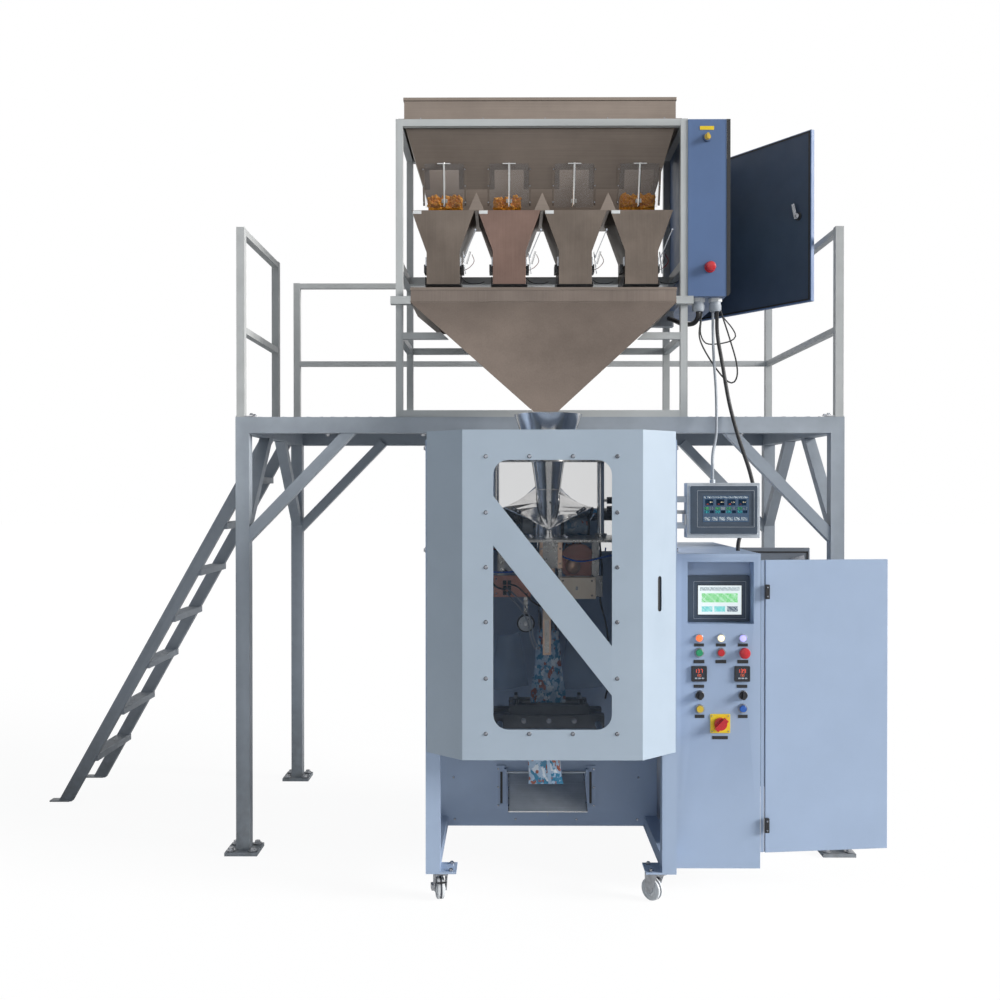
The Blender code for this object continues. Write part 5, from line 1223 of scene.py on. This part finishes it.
FRONT = 0.237
CAPS = ((0.4959, 0.8009), (0.5683, 0.8009), (0.6443, 0.8009), (0.4982, 0.6141), (0.6413, 0.6151),
    (0.4976, 0.6599), (0.6413, 0.6599))
bezels = []
for x, z in CAPS:
    bezels.append((zinc_plate, hoop(((0.0128, -0.007), (0.0145, -0.0076), (0.016, -0.0055),
        (0.0162, -0.0001), (0.0128, -0.0001)), (x, FRONT, z), (0, 1, 0), 32)))
for x, look in ((0.4959, lamp_orange), (0.5683, lamp_white), (0.6413, lamp_violet)):
    bezels += [(zinc_plate, hoop(((0.0105, -0.007), (0.0125, -0.0076), (0.0142, -0.0055), (0.0145, -0.0001),
        (0.0105, -0.0001)), (x, FRONT, 0.849), (0, 1, 0), 32)),
        (look, lathe(((0, -0.015), (0.0045, -0.0145), (0.0085, -0.0125), (0.0104, -0.009),
            (0.0104, -0.0003), (0, -0.0003)), (x, FRONT, 0.849), (0, 1, 0), 28))]
mesh_piece("control_bezels_and_lamps", "base", bezels)
plates = [(x, 0.771, 0.018, 0.0058) for x in (0.4959, 0.5683, 0.6413)]
plates += [(x, 0.8262, 0.0165, 0.005) for x in (0.4959, 0.5683, 0.6413)]
plates += [(x, 0.689, 0.0175, 0.0052) for x in (0.4956, 0.6386)]
plates += [(x, 0.589, 0.016, 0.0055) for x in (0.4982, 0.6413)]
plates += [(0.566, 0.5185, 0.026, 0.0055)]
mesh_piece("blank_legend_plates", "base", same(black_plastic, *[
    prism(rounded(x - w, x + w, z - h, z + h, 0.0012, 3), "y", FRONT - 0.0012, FRONT - 0.0001)
    for x, z, w, h in plates]), bevel=0.0002)

SEGMENTS = {"1": "bc", "3": "abcdg", "7": "abc", "8": "abcdefg", "9": "abcdfg", "2": "abdeg", "0": "abcdef"}


def digits(text, x, z, high, front, look):
    """Seven-segment figures, the left edge at x and the foot at z."""
    wide, stroke = high * 0.52, high * 0.13
    spots = {"a": (0, high, 1), "g": (0, high / 2, 1), "d": (0, 0, 1), "f": (0, high / 2, 0),
        "b": (wide, high / 2, 0), "e": (0, 0, 0), "c": (wide, 0, 0)}
    made = []
    for number, figure in enumerate(text):
        left = x + number * wide * 1.55
        for segment in SEGMENTS[figure]:
            dx, dz, flat = spots[segment]
            if flat:
                made.append((look, block(left + stroke, left + wide - stroke, front - 0.0004, front,
                    z + dz - stroke / 2, z + dz + stroke / 2)))
            else:
                made.append((look, block(left + dx - stroke / 2, left + dx + stroke / 2, front - 0.0004,
                    front, z + dz + stroke * 0.7, z + dz + high / 2 - stroke * 0.7)))
    return made


for x, label, top, low in ((0.4956, "left", "137", "130"), (0.6386, "right", "139", "130")):
    z = 0.731
    outer = rounded(x - 0.0255, x + 0.0255, z - 0.0255, z + 0.0255, 0.003)
    inner = rounded(x - 0.02, x + 0.02, z - 0.02, z + 0.02, 0.002)
    parts = same(black_plastic, frame_ring(outer, inner, "y", FRONT - 0.0075, FRONT - 0.0001))
    parts += same(screen_deep, block(x - 0.0201, x + 0.0201, FRONT - 0.0055, FRONT - 0.0045, z - 0.0201,
        z + 0.0201))
    parts += same(grey_plastic, *[block(x + left, x + right, FRONT - 0.0068, FRONT - 0.005, z - 0.017,
        z - 0.0125) for left, right in ((-0.014, -0.006), (-0.003, 0.005), (0.008, 0.016))])
    parts += digits(top, x - 0.015, z + 0.0035, 0.012, FRONT - 0.0055, digit_red)
    parts += digits(low, x - 0.009, z - 0.0085, 0.007, FRONT - 0.0055, lamp_orange)
    mesh_piece(f"temperature_controller_{label}", "base", parts, bevel=0.0003)
mesh_piece("switch_plate", "base", [(yellow_plate, prism(rounded(0.533, 0.599, 0.534, 0.597, 0.003), "y",
    FRONT - 0.0038, FRONT - 0.0001))], bevel=0.0008)
screws("switch_plate_screws", [(x, FRONT - 0.0042, z) for x in (0.539, 0.593)
    for z in (0.54, 0.591)], 0.0026, 0.0015)


def display(name, face, outer, inner, glass, radius, contents):
    """A touch panel: a moulded rim, a printed inner line and a lit glass with its contents."""
    x0, x1, z0, z1 = outer
    a0, a1, b0, b1 = inner
    g0, g1, h0, h1 = glass
    rim = frame_ring(rounded(x0, x1, z0, z1, radius), rounded(a0, a1, b0, b1, radius * 0.6), "y",
        face - 0.0075, face)
    line = frame_ring(rounded(a0 - 0.006, a1 + 0.006, b0 - 0.006, b1 + 0.006, radius * 0.6),
        rounded(a0 - 0.005, a1 + 0.005, b0 - 0.005, b1 + 0.005, radius * 0.6), "y", face - 0.0079,
        face - 0.0074)
    parts = [(dark_slate, rim), (grey_plastic, line), (dark_slate,
        block(a0 - 0.0001, a1 + 0.0001, face - 0.006, face - 0.0005, b0 - 0.0001, b1 + 0.0001)),
        (screen_deep, block(g0, g1, face - 0.0064, face - 0.0059, h0, h1))]
    for look, (u0, u1, v0, v1) in contents:
        parts.append((look, block(g0 + u0 * (g1 - g0), g0 + u1 * (g1 - g0), face - 0.0068, face - 0.0063,
            h0 + v0 * (h1 - h0), h0 + v1 * (h1 - h0))))
    return mesh_piece(name, "base", parts, bevel=0.0006)


panel = [(screen_white, (0.02, 0.98, 0.03, 0.97)), (screen_grey, (0.06, 0.94, 0.8, 0.92)),
         (screen_green, (0.1, 0.9, 0.42, 0.72)), (screen_cyan, (0.1, 0.34, 0.12, 0.3)),
         (screen_cyan, (0.38, 0.62, 0.12, 0.3)), (screen_blue, (0.66, 0.9, 0.12, 0.3))]
display("cabinet_screen", 0.2968, (0.462, 0.6745, 0.898, 1.053), (0.493, 0.657, 0.913, 1.027),
        (0.499, 0.651, 0.918, 1.022), 0.004, panel)
cells = [(screen_blue, (0.0, 1.0, 0.0, 1.0)), (screen_white, (0.02, 0.98, 0.9, 0.97))]
for k in range(4):
    u = 0.03 + 0.24 * k
    cells += [(screen_deep, (u + 0.02, u + 0.2, 0.62, 0.86)), (lamp_white, (u + 0.11, u + 0.19, 0.73, 0.77)),
              (lamp_orange, (u + 0.05, u + 0.1, 0.66, 0.69)), (screen_green, (u, u + 0.11, 0.46, 0.57)),
              (screen_grey, (u + 0.12, u + 0.22, 0.46, 0.57)), (screen_cyan, (u, u + 0.11, 0.33, 0.44)),
              (screen_deep, (u + 0.12, u + 0.22, 0.33, 0.44))]
cells += [(screen_white, (0.025 + 0.162 * k, 0.165 + 0.162 * k, 0.05, 0.19)) for k in range(6)]
display("pendant_display", 0.1445, (0.45, 0.666, 1.1985, 1.353), (0.478, 0.65, 1.226, 1.333),
        (0.49, 0.638, 1.237, 1.322), 0.004, cells)
bolts("pendant_bolts", [(0.4045, 0.166, z) for z in (1.345, 1.19)], 0.007, 0.006, out=(1, 0, 0))
mesh_piece("pendant_clip", "base", same(zinc_plate, block(0.405, 0.4392, 0.188, 0.198, 1.262, 1.274),
    block(0.433, 0.4392, 0.15, 0.196, 1.228, 1.262)), bevel=0.0006)

hinge_blocks, hinge_screws = [], []
for z in (1.0035, 0.229):
    hinge_blocks.append((black_plastic, block(0.7125, 0.7275, 0.222, 0.2345, z - 0.024, z + 0.024)))
    hinge_screws += [(0.72, 0.2208, z + k * 0.015) for k in SIDES]
mesh_piece("door_hinges", "cabinet_front_door", hinge_blocks, bevel=0.0015)
mesh_piece("door_flange", "cabinet_front_door", [(cabinet_paint,
    prism(((0.7015, 0.2385), (0.7125, 0.2385), (0.7125, 0.25), (0.7105, 0.25), (0.7105, 0.241),
        (0.7015, 0.241)), "z", 0.1365, 1.107))], bevel=0.0004)
screws("door_hinge_screws", hinge_screws, 0.0035, 0.002, "cabinet_front_door")
rear_hinges = [(black_plastic, rod_z(0.7155, 1.0615, (z - 0.024, z + 0.024), 0.006, 20))
    for z in (1.0035, 0.229)]
mesh_piece("rear_door_hinges", "base", rear_hinges, bevel=0.001)
FRONT_LEAF = swung(0.712, 0.236, -83.4)
REAR_LEAF = swung(0.712, 1.059, 88)
SEAL_BACK = 0.699
mesh_piece("front_leaf_seal", "cabinet_front_door", same(black_rubber, *[
    block(SEAL_BACK, LEAF_FACE, *edges) for edges in ((0.264, 0.27, 0.15, 1.093), (0.652, 0.658, 0.15, 1.093),
    (0.264, 0.658, 0.15, 0.156), (0.264, 0.658, 1.087, 1.093))], place=FRONT_LEAF), bevel=0.0006)
mesh_piece("rear_leaf_fittings", "cabinet_rear_door", same(black_rubber, *[
    block(SEAL_BACK, LEAF_FACE, *edges) for edges in ((0.69, 0.696, 0.15, 1.093), (0.69, 1.031, 0.15, 0.156),
    (0.69, 1.031, 1.087, 1.093))], place=REAR_LEAF)
    + same(screw_steel, rod_x((0.7002, 0.688), 0.722, 1.06, 0.01),
        slab((0.689, 0.735, 1.064), (0, 0.25, 1), (0, 1, -0.25), (1, 0, 0), 0.016, 0.056, 0.003),
        place=REAR_LEAF)
    + same(black_plastic, rod_x((0.7122, 0.72), 0.722, 1.06, 0.013), place=REAR_LEAF),
    bevel=0.0006)
inside = [(zinc_plate, block(0.425, 0.4275, 0.27, 1.03, 0.15, 0.87))]
for z in (0.8, 0.6, 0.4, 0.2):
    inside.append((grey_plastic, block(0.4275, 0.48, 0.3, 1.01, z, z + 0.036)))
for k in range(3):
    y = 0.33 + 0.15 * k
    inside += [(pale_plastic, block(0.4275, 0.54, y, y + 0.11, 0.65, 0.79)),
               (dark_slate, block(0.54, 0.545, y + 0.015, y + 0.095, 0.72, 0.775)),
               (screen_deep, block(0.545, 0.546, y + 0.03, y + 0.08, 0.745, 0.765))]
for k in range(11):
    y = 0.32 + 0.036 * k
    inside += [(pale_plastic, block(0.4275, 0.495, y, y + 0.033, 0.46, 0.545)),
        (black_plastic if k % 3 else red_cap, block(0.495, 0.503, y + 0.01, y + 0.023, 0.49, 0.515))]
for k in range(5):
    y = 0.76 + 0.05 * k
    inside += [(black_plastic, block(0.4275, 0.505, y, y + 0.045, 0.46, 0.55)),
               (pale_plastic, block(0.505, 0.508, y + 0.008, y + 0.037, 0.48, 0.53))]
for k in range(40):
    y = 0.32 + 0.0165 * k
    look = (grey_plastic, blue_cap, grey_plastic, green_cap)[k % 4]
    inside.append((look, block(0.4275, 0.47, y, y + 0.0145, 0.27, 0.32)))
inside += [(slate_paint, block(0.4275, 0.55, 0.8, 0.96, 0.65, 0.78)),
           (black_plastic, block(0.4275, 0.53, 0.32, 0.42, 0.165, 0.195))]
for k in range(9):
    y = 0.34 + 0.07 * k
    look = (black_cable, red_wire, blue_air_tube)[k % 3]
    inside.append((look, wire(((0.47, y, 0.322), (0.485, y, 0.345), (0.49, y + 0.01, 0.38),
        (0.47, y + 0.01, 0.405)), 0.002, 0.01)))
mesh_piece("cabinet_electrics", "base", inside, bevel=0.001)
ribs("cabinet_duct_slots", [(0.4805, 0.308 + 0.012 * k, z + 0.018) for k in range(58)
    for z in (0.8, 0.6, 0.4, 0.2)], (0.0016, 0.005, 0.03), pale_plastic)

# ---------------------------------------------------------------- stage and light

world = bpy.data.worlds.new("studio")
bpy.context.scene.world = world
world.use_nodes = True
sky = world.node_tree
for node in list(sky.nodes):
    sky.nodes.remove(node)
plain = put(sky, "ShaderNodeBackground", {"Color": (0.88, 0.94, 1.0, 1.0), "Strength": 0.27})
white = put(sky, "ShaderNodeBackground", {"Color": (1.0, 1.0, 1.0, 1.0), "Strength": 1.0})
rays = put(sky, "ShaderNodeLightPath").outputs
seen = put(sky, "ShaderNodeMath", {0: rays["Is Camera Ray"], 1: rays["Is Glossy Ray"]}, operation="MAXIMUM")
through = put(sky, "ShaderNodeMath", {0: seen.outputs[0], 1: rays["Is Transmission Ray"]},
    operation="MAXIMUM")
choose = put(sky, "ShaderNodeMixShader", {"Fac": through.outputs[0], 1: plain.outputs[0],
    2: white.outputs[0]})
put(sky, "ShaderNodeOutputWorld", {"Surface": choose.outputs[0]})


def matt(name, grey, roughness):
    """A plain grey for the stage, with its node tree and its shader."""
    made = bpy.data.materials.new(name)
    made.use_nodes = True
    shader = made.node_tree.nodes["Principled BSDF"]
    shader.inputs["Base Color"].default_value = (grey, grey, grey, 1.0)
    shader.inputs["Roughness"].default_value = roughness
    return made, made.node_tree, shader


floor_look, ground, shade = matt("studio_floor", 0.86, 0.9)
glow = put(ground, "ShaderNodeEmission", {"Strength": 1.04})
share = times(ground, put(ground, "ShaderNodeLightPath").outputs["Is Camera Ray"], 0.9)
mix = put(ground, "ShaderNodeMixShader", {"Fac": share, 1: shade.outputs[0], 2: glow.outputs[0]})
ground.links.new(mix.outputs[0], ground.nodes["Material Output"].inputs["Surface"])
floor_mesh = bpy.data.meshes.new("studio_floor")
floor_mesh.from_pydata([(-40, -40, 0), (40, -40, 0), (40, 40, 0), (-40, 40, 0)], [], [(0, 1, 2, 3)])
floor_mesh.materials.append(floor_look)
floor = placed("studio_floor", floor_mesh)
floor.location.z = -0.001


def lamp(name, direction, strength, angle, colour):
    data = bpy.data.lights.new(name, "SUN")
    data.energy = strength
    data.angle = math.radians(angle)
    data.color = colour
    placed(name, data).rotation_euler = Vector(direction).to_track_quat("-Z", "Y").to_euler()


lamp("right_window", (-0.9, 0.32, -0.34), 4.4, 24, (1.0, 0.985, 0.96))
lamp("front_fill", (0.1, 0.95, -0.28), 0.24, 50, (0.8, 0.9, 1.0))

flag_look = matt("studio_flag", 0.02, 1.0)[0]
for number, (x, y, wide) in enumerate(((-2.6, -4.6, 1.5), (0.9, -5.2, 0.9), (3.6, -3.6, 1.2),
    (-4.2, 0.5, 1.6), (4.4, 1.2, 1.2), (-1.5, 5.6, 1.6), (2.0, 5.4, 1.0))):
    flag_mesh = bpy.data.meshes.new("studio_flag")
    aim = Vector((x, y - 0.5, 0)).normalized()
    edge = Vector((-aim.y, aim.x, 0)) * (wide / 2)
    foot = at(x, y, 0.2)
    flag_mesh.from_pydata([foot - edge, foot + edge, foot + edge + Vector((0, 0, 3.4)),
        foot - edge + Vector((0, 0, 3.4))], [], [(0, 1, 2, 3)])
    flag_mesh.materials.append(flag_look)
    flag = placed(f"studio_flag_{number}", flag_mesh)
    flag.visible_camera = flag.visible_diffuse = flag.visible_shadow = flag.visible_transmission = False

bpy.context.scene.view_settings.view_transform = "Standard"
